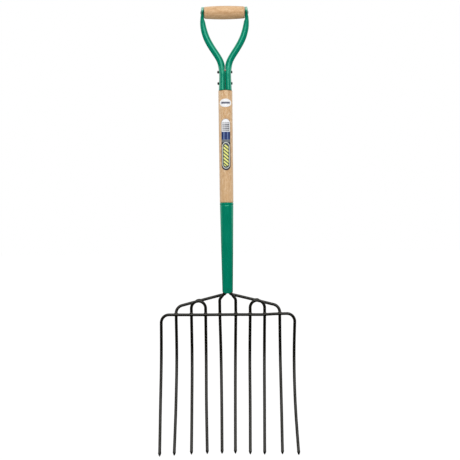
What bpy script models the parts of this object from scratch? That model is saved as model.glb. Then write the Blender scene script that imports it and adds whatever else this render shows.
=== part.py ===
"""Ten-tine garden fork with a wooden shaft and a steel Y handle.

Blender 4.5. Metres, +Z up, points down: the ground is z = 0, the tool is upright, the hollow
(front) side of the head faces -Y, left is -X, and the origin is on the ground under the middle of
the tool's bounding box. Sizes below are in millimetres. Heights are measured from a datum under
the ground, x and y from the shaft's axis.
"""

import math

import bmesh
import bpy
from mathutils import Matrix, Vector

MM = 0.001

# ---------------------------------------------------------------- shared dimensions
GROUND = 12.0
AXIS_X, AXIS_Y = 0.87, 28.87  # the shaft's axis, so that the bounding box is centred on the origin
GAP = 0.3  # clearance between neighbouring pieces
SIDES = (("left", -1), ("right", 1))
TURN_STEPS = 24  # round the larger turned pieces

TO_AXIS = Matrix.Translation((AXIS_X * MM, AXIS_Y * MM, -GROUND * MM))
ALONG_X = Matrix.Rotation(math.radians(90), 4, "Y")  # local +Z becomes +X
ALONG_Y = Matrix.Rotation(math.radians(-90), 4, "X")  # local +Z becomes +Y

# ---------------------------------------------------------------- scene and materials
for old in list(bpy.data.objects):
    bpy.data.objects.remove(old, do_unlink=True)

PARTS = bpy.data.collections.new("ten_tine_fork")
CUTTERS = bpy.data.collections.new("cutters")
bpy.context.scene.collection.children.link(PARTS)
bpy.context.scene.collection.children.link(CUTTERS)


def material(name, colour, roughness, metallic=0.0):
    mat = bpy.data.materials.new(name)
    mat.use_nodes = True
    shader = mat.node_tree.nodes["Principled BSDF"]
    shader.inputs["Base Color"].default_value = (*colour, 1.0)
    shader.inputs["Roughness"].default_value = roughness
    shader.inputs["Metallic"].default_value = metallic
    return mat


BLACK = material("black_lacquer", colour=(0.012, 0.012, 0.010), roughness=0.35)
WELD = material("weld_metal", colour=(0.03, 0.03, 0.028), roughness=0.5, metallic=0.4)
GREEN = material("green_paint", colour=(0.0, 0.212, 0.119), roughness=0.4)
ASH = material("ash_wood", colour=(0.60, 0.42, 0.23), roughness=0.55)
BEECH = material("grip_wood", colour=(0.57, 0.38, 0.20), roughness=0.5)
STEEL = material("dark_steel", colour=(0.07, 0.07, 0.07), roughness=0.4, metallic=0.8)
PAPER = material("label_white", colour=(0.85, 0.85, 0.85), roughness=0.3)
BLUE = material("label_blue", colour=(0.02, 0.04, 0.16), roughness=0.3)


# ---------------------------------------------------------------- objects and modifiers
def paint(obj, mat):
    """Gives an object this material and no other."""
    obj.data.materials.clear()
    obj.data.materials.append(mat)


def mark_helper(obj):
    obj.hide_render = True
    obj.display_type = "WIRE"


def place(obj, mat=None):
    """Puts an object among the parts, or among the cutters if it has no material."""
    if mat is None:
        CUTTERS.objects.link(obj)
        mark_helper(obj)
    else:
        PARTS.objects.link(obj)
        paint(obj, mat)
    return obj


def take_active(name, mat=None):
    """Names the primitive just added and moves it to its collection."""
    obj = bpy.context.active_object
    obj.name = name
    for home in list(obj.users_collection):
        home.objects.unlink(obj)
    return place(obj, mat)


def box_cutter(name, size, location):
    """A box cutter. Both arguments are in metres, in the world."""
    bpy.ops.mesh.primitive_cube_add(size=1.0, location=location)
    bpy.context.active_object.dimensions = size
    bpy.ops.object.transform_apply(location=False, rotation=False, scale=True)
    return take_active(name)


def evaluated_copy(obj):
    """The object's shape, with its modifiers, as a mesh in the object's own space."""
    graph = bpy.context.evaluated_depsgraph_get()
    graph.update()
    return bpy.data.meshes.new_from_object(obj.evaluated_get(graph))


def as_mesh(curve_obj):
    """Replaces a curve object by a mesh object of the same name and shape, its caps welded."""
    mesh = evaluated_copy(curve_obj)
    bm = bmesh.new()
    bm.from_mesh(mesh)
    bmesh.ops.remove_doubles(bm, verts=bm.verts, dist=1e-6)
    bmesh.ops.recalc_face_normals(bm, faces=bm.faces)
    bm.to_mesh(mesh)
    bm.free()
    name, matrix = curve_obj.name, curve_obj.matrix_world.copy()
    homes, is_helper = list(curve_obj.users_collection), curve_obj.hide_render
    bpy.data.objects.remove(curve_obj, do_unlink=True)
    made = bpy.data.objects.new(name, mesh)
    for home in homes:
        home.objects.link(made)
    made.matrix_world = matrix
    if is_helper:
        mark_helper(made)
    return made


def drop_crumbs(mesh):
    """Keeps only the connected piece of a mesh that has the most vertices."""
    bm = bmesh.new()
    bm.from_mesh(mesh)
    left, islands = set(bm.verts), []
    while left:
        stack, island = [next(iter(left))], set()
        while stack:
            vert = stack.pop()
            if vert in island:
                continue
            island.add(vert)
            stack += [edge.other_vert(vert) for edge in vert.link_edges]
        islands.append(island)
        left -= island
    islands.sort(key=lambda verts: -len(verts))
    for island in islands[1:]:
        bmesh.ops.delete(bm, geom=list(island), context="VERTS")
    bm.to_mesh(mesh)
    bm.free()


def apply_modifiers(obj, keep_largest=False):
    """Fixes the modifiers into the mesh. keep_largest drops the crumbs that a Boolean leaves."""
    mesh = evaluated_copy(obj)
    obj.modifiers.clear()
    obj.data = mesh
    if keep_largest:
        drop_crumbs(mesh)


def cut(obj, *cutters):
    for cutter in cutters:
        mod = obj.modifiers.new("cut_" + cutter.name, "BOOLEAN")
        mod.operation = "DIFFERENCE"
        mod.solver = "EXACT"
        mod.object = cutter


def on_axis(y, z, turn):
    """A frame at this place in the plane x = 0, turned."""
    return Matrix.Translation((0.0, y * MM, z * MM)) @ turn


def turned(name, profile, mat=None, steps=TURN_STEPS, closed=False, matrix=None):
    """A profile of (radius, height) turned round Z. A closed profile makes a tube."""
    mesh = bpy.data.meshes.new(name)
    verts = [(radius * MM, 0.0, z * MM) for radius, z in profile]
    edges = [(i, i + 1) for i in range(len(verts) - 1)]
    if closed:
        edges.append((len(verts) - 1, 0))
    mesh.from_pydata(verts, edges, [])
    obj = place(bpy.data.objects.new(name, mesh), mat)
    mod = obj.modifiers.new("turn", "SCREW")
    mod.axis = "Z"
    mod.angle = math.radians(360)
    mod.steps = mod.render_steps = steps
    mod.use_merge_vertices = True
    mod.merge_threshold = 0.00001
    mod.use_smooth_shade = True
    apply_modifiers(obj)
    if mat is not None:
        paint(obj, mat)
        obj.data.set_sharp_from_angle(angle=math.radians(35))
    obj.matrix_world = TO_AXIS @ (matrix or Matrix.Identity(4))
    return obj


def cylinder_cutter(name, radius, length, matrix, steps=16):
    half = length / 2
    profile = [(0, half), (radius, half), (radius, -half), (0, -half)]
    return turned(name, profile, steps=steps, matrix=matrix)


# ---------------------------------------------------------------- curves in space
def through(knots, position):
    """Smooth value at a position, through (position, value) knots in rising order."""
    if position <= knots[0][0]:
        (x0, y0), (x1, y1) = knots[0], knots[1]
        return y0 + (y1 - y0) * (position - x0) / (x1 - x0)
    if position >= knots[-1][0]:
        (x0, y0), (x1, y1) = knots[-2], knots[-1]
        return y1 + (y1 - y0) * (position - x1) / (x1 - x0)
    i = max(k for k in range(len(knots) - 1) if knots[k][0] <= position)
    (x0, y0), (x1, y1) = knots[i], knots[i + 1]
    span = x1 - x0

    def tangent(k):
        if k == 0 or k == len(knots) - 1:
            return (y1 - y0) / span
        (xa, ya), (xb, yb), (xc, yc) = knots[k - 1], knots[k], knots[k + 1]
        before, after = (yb - ya) / (xb - xa), (yc - yb) / (xc - xb)
        return (before * (xc - xb) + after * (xb - xa)) / (xc - xa)

    t = (position - x0) / span
    start, end = tangent(i) * span, tangent(i + 1) * span
    return (
        y0 * (2 * t**3 - 3 * t**2 + 1)
        + start * (t**3 - 2 * t**2 + t)
        + y1 * (3 * t**2 - 2 * t**3)
        + end * (t**3 - t**2)
    )


def rounded(points, radii, steps):
    """A polyline in space with each inner corner made an arc of its own radius."""
    points = [Vector(p) for p in points]
    out = [points[0]]
    for before, corner, after, radius in zip(points, points[1:], points[2:], radii):
        back, ahead = (before - corner).normalized(), (after - corner).normalized()
        turn = math.pi - back.angle(ahead)
        reach = radius * math.tan(turn / 2)
        centre = corner + (back + ahead).normalized() * (radius / math.cos(turn / 2))
        first, last = corner + back * reach - centre, corner + ahead * reach - centre
        for step in range(steps + 1):
            share = step / steps
            first_weight = math.sin((1 - share) * turn) / math.sin(turn)
            last_weight = math.sin(share * turn) / math.sin(turn)
            out.append(centre + first * first_weight + last * last_weight)
    out.append(points[-1])
    return out


# ---------------------------------------------------------------- head: dimensions
ROD_R = 4.0  # 8 mm round steel rod
ROD_PITCH = 8.3  # between the centre lines of two rods that touch
BAR_Z = 374.3  # mean height of the crossbar's centre line
BAR_Y = -0.3  # the bar lies in front of the tines it ties together
# the bar isn't quite straight: (x, its rise above BAR_Z)
BAR_RISE = (
    (-180.0, 0.9), (-150.0, 0.9), (-115.0, 0.4), (-75.0, 0.0), (-20.0, -0.2), (20.0, -0.4),
    (60.0, -0.9), (97.0, -1.1), (120.0, 0.1), (150.0, 0.7), (180.0, 0.7),
)
CORNER_R, CORNER_STEPS = 20.5, 6  # bend from the crossbar into an outer tine
ARCH_SPRING_Z = 391.5  # where a hairpin's arch starts
ARCH_STEPS = 8

ROD_TOP_Z = 490.0  # upper ends of the four rods that go into the socket
BUNDLE = 4.3  # half the pitch of those four rods, two by two
DIAGONAL_Z, DIAGONAL_SLOPE = 430.2, 0.255  # a diagonal's height at the axis, and its fall per mm
DIAGONAL_BENDS, DIAGONAL_BEND_STEPS = (9.0, 21.0), 6  # radii under the socket and at the shoulder
LONG_RUN, LONG_RUN_PARTS = 40.0, 5  # a slope longer than this across is split into these parts
SHOULDER_ZONE = 2.0  # from this far inside its tine, a diagonal returns to the dish
SHOULDER_RETURN = 14.0  # height of that return above the bar
# a diagonal bows backwards: (distance from the axis, y)
DIAGONAL_Y = (
    (4.3, 4.3), (14.0, 6.0), (30.0, 8.6), (60.0, 11.1),
    (78.0, 11.6), (95.0, 11.8), (110.0, 11.3), (137.6, 8.5),
)
CENTRE_BEND_Z = 436.6  # a centre rod leaves the bundle here
CENTRE_KNEE_Y, CENTRE_KNEE_Z = -2.6, 415.0  # and turns down as a tine here
CENTRE_BENDS, CENTRE_BEND_STEPS = (7.0, 12.0), 5

# each tine, left to right: its x at these four heights, and how far its point ends above ground
TINE_HEIGHTS = (BAR_Z, 259.0, 141.5, GROUND)
TINES = (
    ((-176.9, -178.2, -180.4, -181.5), -0.8),
    ((-137.6, -137.5, -139.8, -143.8), 1.5),
    ((-96.9, -96.6, -97.7, -98.9), 3.5),
    ((-59.1, -59.2, -59.4, -57.6), 4.5),
    ((-21.4, -19.6, -19.1, -19.2), 4.5),
    ((20.9, 18.6, 16.9, 15.4), 4.5),
    ((59.1, 56.9, 56.0, 54.1), 2.4),
    ((97.5, 95.6, 93.9, 91.4), 1.5),
    ((137.6, 137.9, 138.4, 137.8), 1.6),
    ((177.6, 174.3, 174.8, 180.0), -0.8),
)
TINE_STEPS = 8
# the dish of the head: (height, y of a tine's centre line)
DISH = (
    (12.0, -73.0), (57.0, -50.5), (104.0, -29.5), (151.0, -12.0), (200.0, 2.8), (249.0, 12.0),
    (290.0, 15.0), (330.0, 13.0), (374.3, 8.0), (391.5, 5.6), (411.0, 2.5),
)
OUTER_LEAD_LOW = 0.25  # share of an outer tine's forward offset that is left at height 0
TAPER_Z = 14.5  # a tine keeps its full radius down to this height above its end
# the sharpened end: (distance from the end, share of the rod's radius)
POINT = ((13.5, 1.0), (9.5, 1.03), (5.5, 0.84), (2.2, 0.56), (0.0, 0.36))

# the rods that the crossbar ties together, one entry a tine, from the second to the ninth
TIED_RODS = (
    "left_diagonal_rod", "left_hairpin_rod", "left_hairpin_rod", "left_centre_rod",
    "right_centre_rod", "right_hairpin_rod", "right_hairpin_rod", "right_diagonal_rod",
)
# each weld: offset or place, then half sizes of its drop
BAR_WELD_OFFSET, BAR_WELD_SIZE = (3.2, 4.1), (5.4, 3.5, 3.2)  # offset in y and z from the bar
ARCH_WELD_AT, ARCH_WELD_SIZE = (78.2, 7.0, 414.0), (7.2, 3.9, 3.3)
ROOT_WELD_AT, ROOT_WELD_SIZE = (15.0, 1.3, 421.8), (4.0, 4.2, 4.0)


# ---------------------------------------------------------------- head: centre lines of the rods
# a centre line is a list of (point, share of the rod's radius)
def dish(z):
    return through(DISH, z)


def bar_height(x):
    return BAR_Z + through(BAR_RISE, x)


def bar_x(index):
    """A tine's x at the crossbar."""
    return TINES[index][0][0]


def tine_x(index, z):
    knots = tuple(zip(reversed(TINE_HEIGHTS), reversed(TINES[index][0])))
    return through(knots, min(z, BAR_Z))


def full_radius(points):
    return [(Vector(p), 1.0) for p in points]


def tine(index, top_z, forward=0.0):
    """A tine's centre line from top_z to its point. forward brings it out of the dish."""
    end_z = TINES[index][1] + GROUND
    points = []
    for step in range(TINE_STEPS + 1):
        z = top_z + (end_z + TAPER_Z - top_z) * step / TINE_STEPS
        lead = forward * (OUTER_LEAD_LOW + (1 - OUTER_LEAD_LOW) * z / BAR_Z)
        points.append(Vector((tine_x(index, z), dish(z) - lead, z)))
    # the sharpened end, in line with the last stretch
    heading = (points[-1] - points[-2]).normalized()
    end = points[-1] + heading * ((end_z - points[-1].z) / heading.z)
    return full_radius(points) + [(end - heading * back, share) for back, share in POINT]


def bow_corner(start, sign):
    """From the top of an outer tine round to the crossbar."""
    rise = bar_height(start.x) - start.z
    points = []
    for step in range(1, CORNER_STEPS + 1):
        angle = math.radians(90 * step / CORNER_STEPS)
        x = start.x - sign * CORNER_R * (1 - math.cos(angle))
        y = start.y + (BAR_Y - start.y) * step / CORNER_STEPS
        points.append((x, y, start.z + rise * math.sin(angle)))
    return full_radius(points)


def bow_line():
    """Outer tine, corner, crossbar, corner, outer tine: one rod."""
    left = tine(0, BAR_Z - CORNER_R, forward=ROD_PITCH)
    right = tine(9, BAR_Z - CORNER_R, forward=ROD_PITCH)
    bar = full_radius((x, BAR_Y, BAR_Z + rise) for x, rise in BAR_RISE[2:-2])
    left_corner = bow_corner(left[0][0], -1)
    right_corner = bow_corner(right[0][0], 1)
    return left[::-1] + left_corner + bar + right_corner[::-1] + right


def hairpin_line(left_index):
    """Two neighbouring tines bent from one rod over a half-round arch."""
    left = tine(left_index, ARCH_SPRING_Z)
    right = tine(left_index + 1, ARCH_SPRING_Z)
    start, end = left[0][0], right[0][0]
    middle, radius = (start.x + end.x) / 2, (end.x - start.x) / 2
    arch = []
    for step in range(1, ARCH_STEPS):
        angle = math.radians(180 - 180 / ARCH_STEPS * step)
        z = ARCH_SPRING_Z + radius * math.sin(angle)
        arch.append((middle + radius * math.cos(angle), dish(z), z))
    return left[::-1] + full_radius(arch) + right


def diagonal_line(index, sign):
    """From the socket out over a hairpin, round a shoulder and down as a tine."""
    x_end = abs(bar_x(index))
    flat = rounded(
        [
            (BUNDLE, 0, ROD_TOP_Z),
            (BUNDLE, 0, DIAGONAL_Z - DIAGONAL_SLOPE * BUNDLE),
            (x_end, 0, DIAGONAL_Z - DIAGONAL_SLOPE * x_end),
            (x_end, 0, BAR_Z),
        ],
        DIAGONAL_BENDS,
        DIAGONAL_BEND_STEPS,
    )
    # extra points along the long slope, so that it can bow backwards
    line = []
    for start, end in zip(flat, flat[1:]):
        line.append(start)
        if end.x - start.x > LONG_RUN:
            line += [start.lerp(end, k / LONG_RUN_PARTS) for k in range(1, LONG_RUN_PARTS)]
    points = []
    for p in line:
        y = through(DIAGONAL_Y, p.x)
        if p.x > x_end - SHOULDER_ZONE:
            y = dish(BAR_Z) + (y - dish(BAR_Z)) * (p.z - BAR_Z) / SHOULDER_RETURN
        points.append((sign * p.x, y, p.z))
    return full_radius(points) + tine(index, BAR_Z)


def centre_line(index, sign):
    """From the socket, out a little and straight down as a tine."""
    x = bar_x(index)
    top = rounded(
        [
            (sign * BUNDLE, -BUNDLE, ROD_TOP_Z),
            (sign * BUNDLE, -BUNDLE, CENTRE_BEND_Z),
            (x, CENTRE_KNEE_Y, CENTRE_KNEE_Z),
            (x, dish(BAR_Z), BAR_Z),
        ],
        CENTRE_BENDS,
        CENTRE_BEND_STEPS,
    )
    return full_radius(top[:-1]) + tine(index, BAR_Z)


# ---------------------------------------------------------------- head: rods and welds
def rod(name, line, mat=None, extra=0.0):
    """A round rod along a centre line, its radius larger by extra."""
    curve = bpy.data.curves.new(name, "CURVE")
    curve.dimensions = "3D"
    curve.bevel_depth = (ROD_R + extra) * MM
    curve.bevel_resolution = 3
    curve.use_fill_caps = True
    curve.twist_mode = "MINIMUM"
    spline = curve.splines.new("POLY")
    spline.points.add(len(line) - 1)
    for knot, (p, share) in zip(spline.points, line):
        knot.co = (p.x * MM, p.y * MM, p.z * MM, 1.0)
        knot.radius = (share * ROD_R + extra) / (ROD_R + extra)
    obj = bpy.data.objects.new(name, curve)
    obj.matrix_world = TO_AXIS
    return place(obj, mat)


def build_rods():
    """The seven rods. Returns their cutters, fatter by the clearance, by rod name."""
    lines = {
        "outer_bow_rod": bow_line(),
        "left_diagonal_rod": diagonal_line(1, -1),
        "right_diagonal_rod": diagonal_line(8, 1),
        "left_hairpin_rod": hairpin_line(2),
        "right_hairpin_rod": hairpin_line(6),
        "left_centre_rod": centre_line(4, -1),
        "right_centre_rod": centre_line(5, 1),
    }
    rods, clearances = {}, {}
    for name, line in lines.items():
        rods[name] = rod(name, line, BLACK)
        clearances[name] = as_mesh(rod(name + "_clearance", line, extra=GAP))

    # the outer tines are dressed to one level: two flat points to stand on
    bow = as_mesh(rods["outer_bow_rod"])
    bow.data.materials.append(BLACK)
    cut(bow, box_cutter("ground_level", size=(0.6, 0.6, 0.04), location=(0, 0, -0.02)))
    return clearances


def bead(name, centre, half_sizes, cutters):
    """A drop of weld metal in a notch between rods, cut back from them."""
    bpy.ops.mesh.primitive_uv_sphere_add(
        segments=12, ring_count=8, radius=1.0, location=(0, 0, 0)
    )
    obj = take_active(name, WELD)
    obj.data.transform(Matrix.Diagonal((*(size * MM for size in half_sizes), 1.0)))
    obj.location = TO_AXIS @ (Vector(centre) * MM)
    cut(obj, *cutters)
    apply_modifiers(obj, keep_largest=True)
    paint(obj, WELD)


def build_welds(clearances):
    offset_y, offset_z = BAR_WELD_OFFSET
    for index, rod_name in enumerate(TIED_RODS, start=1):
        x = bar_x(index)
        bead(
            f"bar_weld_{index + 1}",
            (x, BAR_Y + offset_y, bar_height(x) + offset_z),
            BAR_WELD_SIZE,
            (clearances["outer_bow_rod"], clearances[rod_name]),
        )
    for side, sign in SIDES:
        for kind, (x, y, z), size, neighbour in (
            ("arch", ARCH_WELD_AT, ARCH_WELD_SIZE, "hairpin"),
            ("root", ROOT_WELD_AT, ROOT_WELD_SIZE, "centre"),
        ):
            cutters = [clearances[f"{side}_{which}_rod"] for which in ("diagonal", neighbour)]
            bead(f"{side}_{kind}_weld", (sign * x, y, z), size, cutters)


# ---------------------------------------------------------------- socket and shaft
SOCKET_TOP_Z, SOCKET_END_Z, SOCKET_MOUTH_Z = 670.6, 440.0, 430.0
SOCKET_TOP_R, SOCKET_END_R, SOCKET_WALL = 18.1, 13.95, 1.6
COLLAR_BOTTOM_Z, COLLAR_TOP_Z = 446.0, 470.0
COLLAR_R, COLLAR_BORE_R = 12.0, 10.5
NAIL_Z = 600.0

SHAFT_R, SHAFT_TOP_R = 18.0, 18.6  # the shaft swells a little towards the handle
SWELL_START_Z, SWELL_END_Z = 690.0, 930.0
SHAFT_FOOT_Z = 500.0
SHAFT_STEP_Z = 671.0  # the shaft is drawn in below this, to fit the socket
SHAFT_SHOULDER_Z = 967.0  # the tenon for the handle starts here
TENON_TOP_Z, TENON_NECK_Z = 1021.0, 1005.0  # the tenon widens below its neck
TENON_R, TENON_ROOT_R = 12.9, 14.1
HANDLE_RIVET_Z = (986.6, 1016.6)


def socket_r(z):
    share = (z - SOCKET_END_Z) / (SOCKET_TOP_Z - SOCKET_END_Z)
    return SOCKET_END_R + (SOCKET_TOP_R - SOCKET_END_R) * share


def inner_r(z):
    return socket_r(z) - SOCKET_WALL


def build_socket(clearances, nail_hole):
    """A steel cone with a ring groove under its lip and a seam, drawn in round the rods."""
    socket = turned(
        "socket",
        [
            # lip and groove
            (SOCKET_TOP_R - 0.6, SOCKET_TOP_Z), (SOCKET_TOP_R, SOCKET_TOP_Z - 0.8),
            (socket_r(665.5), 665.5), (socket_r(663.5) - 0.6, 663.5), (socket_r(661.5), 661.5),
            # cone
            (socket_r(555), 555.0), (socket_r(445), 445.0),
            # drawn-in foot
            (SOCKET_END_R - 0.1, 437.4), (SOCKET_END_R - 0.7, 434.0),
            (SOCKET_END_R - 2.0, 431.5), (SOCKET_END_R - 3.6, SOCKET_MOUTH_Z),
            # inside
            (8.8, 430.9), (10.4, 434.4), (inner_r(441), 441.0),
            (inner_r(555), 555.0), (inner_r(SOCKET_TOP_Z), SOCKET_TOP_Z),
        ],
        GREEN, closed=True,
    )
    seam = box_cutter(
        "socket_seam",
        size=(1.0 * MM, 20.0 * MM, 300.0 * MM),
        location=TO_AXIS @ Vector((0.0, 15.0 * MM, 555.0 * MM)),
    )
    bundle = [
        clearances[f"{side}_{kind}_rod"] for kind in ("diagonal", "centre") for side, _ in SIDES
    ]
    cut(socket, seam, nail_hole, *bundle)
    apply_modifiers(socket, keep_largest=True)


def build_collar():
    """A collar that binds the four rods together inside the socket."""
    turned(
        "rod_collar",
        [
            (COLLAR_R, COLLAR_TOP_Z), (COLLAR_R, COLLAR_BOTTOM_Z),
            (COLLAR_BORE_R, COLLAR_BOTTOM_Z), (COLLAR_BORE_R, COLLAR_TOP_Z),
        ],
        STEEL, closed=True,
    )


def build_shaft(nail_hole, rivet_holes):
    """An ash pole with a tapered foot in the socket and a tenon for the handle."""
    shaft = turned(
        "shaft",
        [
            # tenon
            (0, TENON_TOP_Z), (TENON_R - 0.6, TENON_TOP_Z), (TENON_R, TENON_TOP_Z - 1.5),
            (TENON_R, TENON_NECK_Z), (TENON_ROOT_R, SHAFT_SHOULDER_Z),
            # pole
            (SHAFT_TOP_R - 0.8, SHAFT_SHOULDER_Z), (SHAFT_TOP_R, SHAFT_SHOULDER_Z - 1.5),
            (SHAFT_TOP_R, SWELL_END_Z), (SHAFT_R, SWELL_START_Z),
            (SHAFT_R, SHAFT_STEP_Z + 2.0), (SHAFT_R - 0.7, SHAFT_STEP_Z),
            # foot
            (inner_r(SHAFT_STEP_Z) - GAP, SHAFT_STEP_Z), (inner_r(585) - GAP, 585.0),
            (inner_r(SHAFT_FOOT_Z) - GAP, SHAFT_FOOT_Z), (0, SHAFT_FOOT_Z),
        ],
        ASH,
    )
    cut(shaft, nail_hole, *rivet_holes)
    apply_modifiers(shaft)


def build_nail():
    """The nail that holds the shaft in the socket, driven in at the back across the seam."""
    turned(
        "socket_nail",
        [
            (0, 1.9), (1.8, 1.7), (3.2, 1.0), (3.9, 0.3),
            (1.6, 0.3), (1.6, -15.0), (0, -17.5),
        ],
        GREEN, steps=16, matrix=on_axis(socket_r(NAIL_Z), NAIL_Z, ALONG_Y),
    )


# ---------------------------------------------------------------- Y handle: dimensions
HANDLE_FOOT_Z = 967.8
TUBE_WALL = 1.9
GRIP_Z = 1174.3
GRIP_HALF = 53.5
GRIP_R_MID, GRIP_R_END = 17.9, 15.8
GRIP_RIVET_R, GRIP_RIVET_STEPS = 3.0, 20

# height: distance of the tube's centre from the axis, half width across, half depth, squareness
ARM = (
    (1029.0, 9.05, 8.85, 9.6, 2.0), (1033.6, 9.5, 9.15, 9.3, 2.0), (1038.3, 10.4, 9.1, 9.1, 2.0),
    (1047.8, 13.7, 8.9, 8.8, 2.0), (1057.1, 18.7, 8.8, 8.7, 2.0), (1066.4, 24.5, 8.8, 8.7, 2.0),
    (1075.6, 30.6, 8.8, 8.7, 2.0), (1084.9, 36.4, 8.8, 8.7, 2.0), (1094.2, 41.7, 8.8, 8.7, 2.0),
    (1103.5, 46.3, 8.8, 8.6, 2.0), (1112.8, 50.1, 8.7, 8.5, 2.0), (1122.1, 53.0, 8.5, 8.4, 2.0),
    (1131.4, 55.4, 8.2, 8.4, 2.05), (1140.7, 57.0, 7.7, 8.5, 2.1), (1150.0, 58.1, 6.8, 8.8, 2.2),
    (1158.1, 59.0, 5.2, 9.4, 2.3), (1162.6, 58.8, 5.0, 10.8, 2.5), (1166.6, 58.45, 4.65, 12.8, 2.7),
    (1170.6, 58.1, 4.3, 14.2, 2.9), (1174.6, 58.0, 4.2, 14.7, 3.0), (1179.2, 58.0, 4.2, 14.2, 3.0),
    (1184.2, 57.9, 4.0, 12.4, 2.8), (1187.9, 57.6, 3.6, 9.4, 2.6), (1190.6, 57.4, 3.0, 5.8, 2.4),
    (1191.9, 57.3, 2.2, 2.7, 2.2),
)
CENTRE, HALF_WIDTH, HALF_DEPTH, SQUARENESS = 1, 2, 3, 4  # columns of ARM
ARM_FOOT_Z, ARM_FOOT_X = ARM[0][:2]
# the rows of ARM at which the skin has a section, and the skin's section heights below them
ARM_STATIONS = (0, 1, 2, 3, 4, 6, 8, 10, 11, 13, 14, 15, 16, 17, 19, 21, 23, 24)
SHELL_STATIONS = (HANDLE_FOOT_Z, 985.0, 1004.0, 1011.0, 1017.0, 1023.0)
UPRIGHT_Z = 1155.0  # above this the tube's sections are level, and it isn't hollow
# the half shell round the tenon, (x, y): front lip, crest, side, for a side SHELL_SIDE_X away
SHELL = (
    (0.45, -12.9), (1.5, -14.3), (4.6, -16.0), (8.2, -16.5),
    (11.9, -14.2), (14.7, -8.0), (15.5, 0.0),
)
SHELL_LIP_X, SHELL_SIDE_X = SHELL[0][0], SHELL[-1][0]
# (height, x of the shell's side)
SHELL_SIDE = (
    (967.8, 17.6), (980.0, 17.0), (995.0, 16.4), (1006.0, 16.1), (1015.0, 16.2), (1030.0, 17.0),
)


# ---------------------------------------------------------------- Y handle: sections
def smooth(t):
    t = max(0.0, min(1.0, t))
    return t * t * (3 - 2 * t)


def arm_value(column, z):
    return through([(row[0], row[column]) for row in ARM], max(z, ARM_FOOT_Z))


def tube_section(z, inset=0.0):
    """The tube's outline at a height, as 20 points.

    13 run round the outside from the front lip to the back, 7 along the inner side.
    """
    half_width = arm_value(HALF_WIDTH, z) - inset
    half_depth = arm_value(HALF_DEPTH, z) - inset
    power = 2 / arm_value(SQUARENESS, z)
    centre = arm_value(CENTRE, z)
    lean = 0.0
    if ARM_FOOT_Z - 3 < z <= UPRIGHT_Z:
        lean = math.atan((arm_value(CENTRE, z + 3) - arm_value(CENTRE, z - 3)) / 6)
    degrees = [-150 + 25 * i for i in range(13)] + [150 + 7.5 * i for i in range(1, 8)]
    out = []
    for angle in map(math.radians, degrees):
        cosine, sine = math.cos(angle), math.sin(angle)
        across = half_width * math.copysign(abs(cosine) ** power, cosine)
        y = half_depth * math.copysign(abs(sine) ** power, sine)
        out.append(Vector((centre + across * math.cos(lean), y, z - across * math.sin(lean))))
    return out


def shell_section(z):
    """The half shell's outline at a height, as 20 points in the tube's order."""
    scale_x = through(SHELL_SIDE, z) / SHELL_SIDE_X
    scale_y = 1 + (scale_x - 1) * 0.6
    front = [(x * scale_x if i > 1 else x, y * scale_y) for i, (x, y) in enumerate(SHELL)]
    outer = front + [(x, -y) for x, y in reversed(front[:-1])]
    back_y = outer[-1][1]
    inner = [(SHELL_LIP_X, back_y * (1 - 2 * k / 8)) for k in range(1, 8)]
    return [Vector((x, y, z)) for x, y in outer + inner]


def arm_section(z):
    """The arm's outline at a height: half shell below, tube above, blended between."""
    mix = smooth((z - 1012.0) / 21.0)
    shell = shell_section(min(z, 1029.9))
    ring = [p.lerp(q, mix) for p, q in zip(shell, tube_section(z))]
    lip = SHELL_LIP_X - 0.27 * smooth((z - 1018.0) / 8.0)
    for p in ring:
        p.x = max(p.x, lip)
    return ring


def outside_x(z, reach):
    """Where a rivet head of this reach clears the outside of an arm."""
    return max(p.x for dz in (-reach, 0.0, reach) for p in arm_section(z + dz)) + GAP


def loft(name, sections, sign, mat=None):
    """A closed skin over sections of equal point counts, stacked upwards."""
    bm = bmesh.new()
    rings = [
        [bm.verts.new((sign * p.x * MM, p.y * MM, p.z * MM)) for p in section]
        for section in sections
    ]
    for low, high in zip(rings, rings[1:]):
        for i in range(len(low)):
            j = (i + 1) % len(low)
            bm.faces.new((low[i], low[j], high[j], high[i]))
    bm.faces.new(list(reversed(rings[0])))
    bm.faces.new(rings[-1])
    bmesh.ops.recalc_face_normals(bm, faces=bm.faces)
    mesh = bpy.data.meshes.new(name)
    bm.to_mesh(mesh)
    bm.free()
    obj = place(bpy.data.objects.new(name, mesh), mat)
    obj.matrix_world = TO_AXIS
    return obj


# ---------------------------------------------------------------- Y handle: pieces
def build_arms(rivet_holes):
    """Two hollow arms, left and right, each with a half shell round the tenon."""
    tenon_space = turned(
        "tenon_space",
        [
            (0, TENON_TOP_Z + GAP), (TENON_R + GAP, TENON_TOP_Z + GAP),
            (TENON_R + GAP, TENON_NECK_Z), (TENON_ROOT_R + GAP, SHAFT_SHOULDER_Z),
            (14.5, 960.0), (0, 960.0),
        ],
    )
    eye_hole = cylinder_cutter(
        "eye_hole", radius=GRIP_RIVET_R + GAP + 0.05, length=160.0,
        matrix=on_axis(0, GRIP_Z, ALONG_X), steps=GRIP_RIVET_STEPS,
    )
    tube_heights = [ARM[k][0] for k in ARM_STATIONS]
    skin = [arm_section(z) for z in [*SHELL_STATIONS, *tube_heights]]
    # the hollow starts as a smaller section inside the half shell
    foot = tube_section(ARM_FOOT_Z, TUBE_WALL)[::2]
    core = [[Vector((7.6 + (p.x - ARM_FOOT_X) * 0.62, p.y * 0.7, 1013.0)) for p in foot]]
    core += [tube_section(z, TUBE_WALL)[::2] for z in tube_heights if z < UPRIGHT_Z]
    for side, sign in SIDES:
        arm = loft(f"{side}_handle_arm", skin, sign, GREEN)
        hollow = loft(f"{side}_arm_hollow", core, sign)
        cut(arm, tenon_space, hollow, eye_hole, *rivet_holes)
        apply_modifiers(arm, keep_largest=True)
        arm.data.shade_smooth()
        arm.data.set_sharp_from_angle(angle=math.radians(40))


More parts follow.
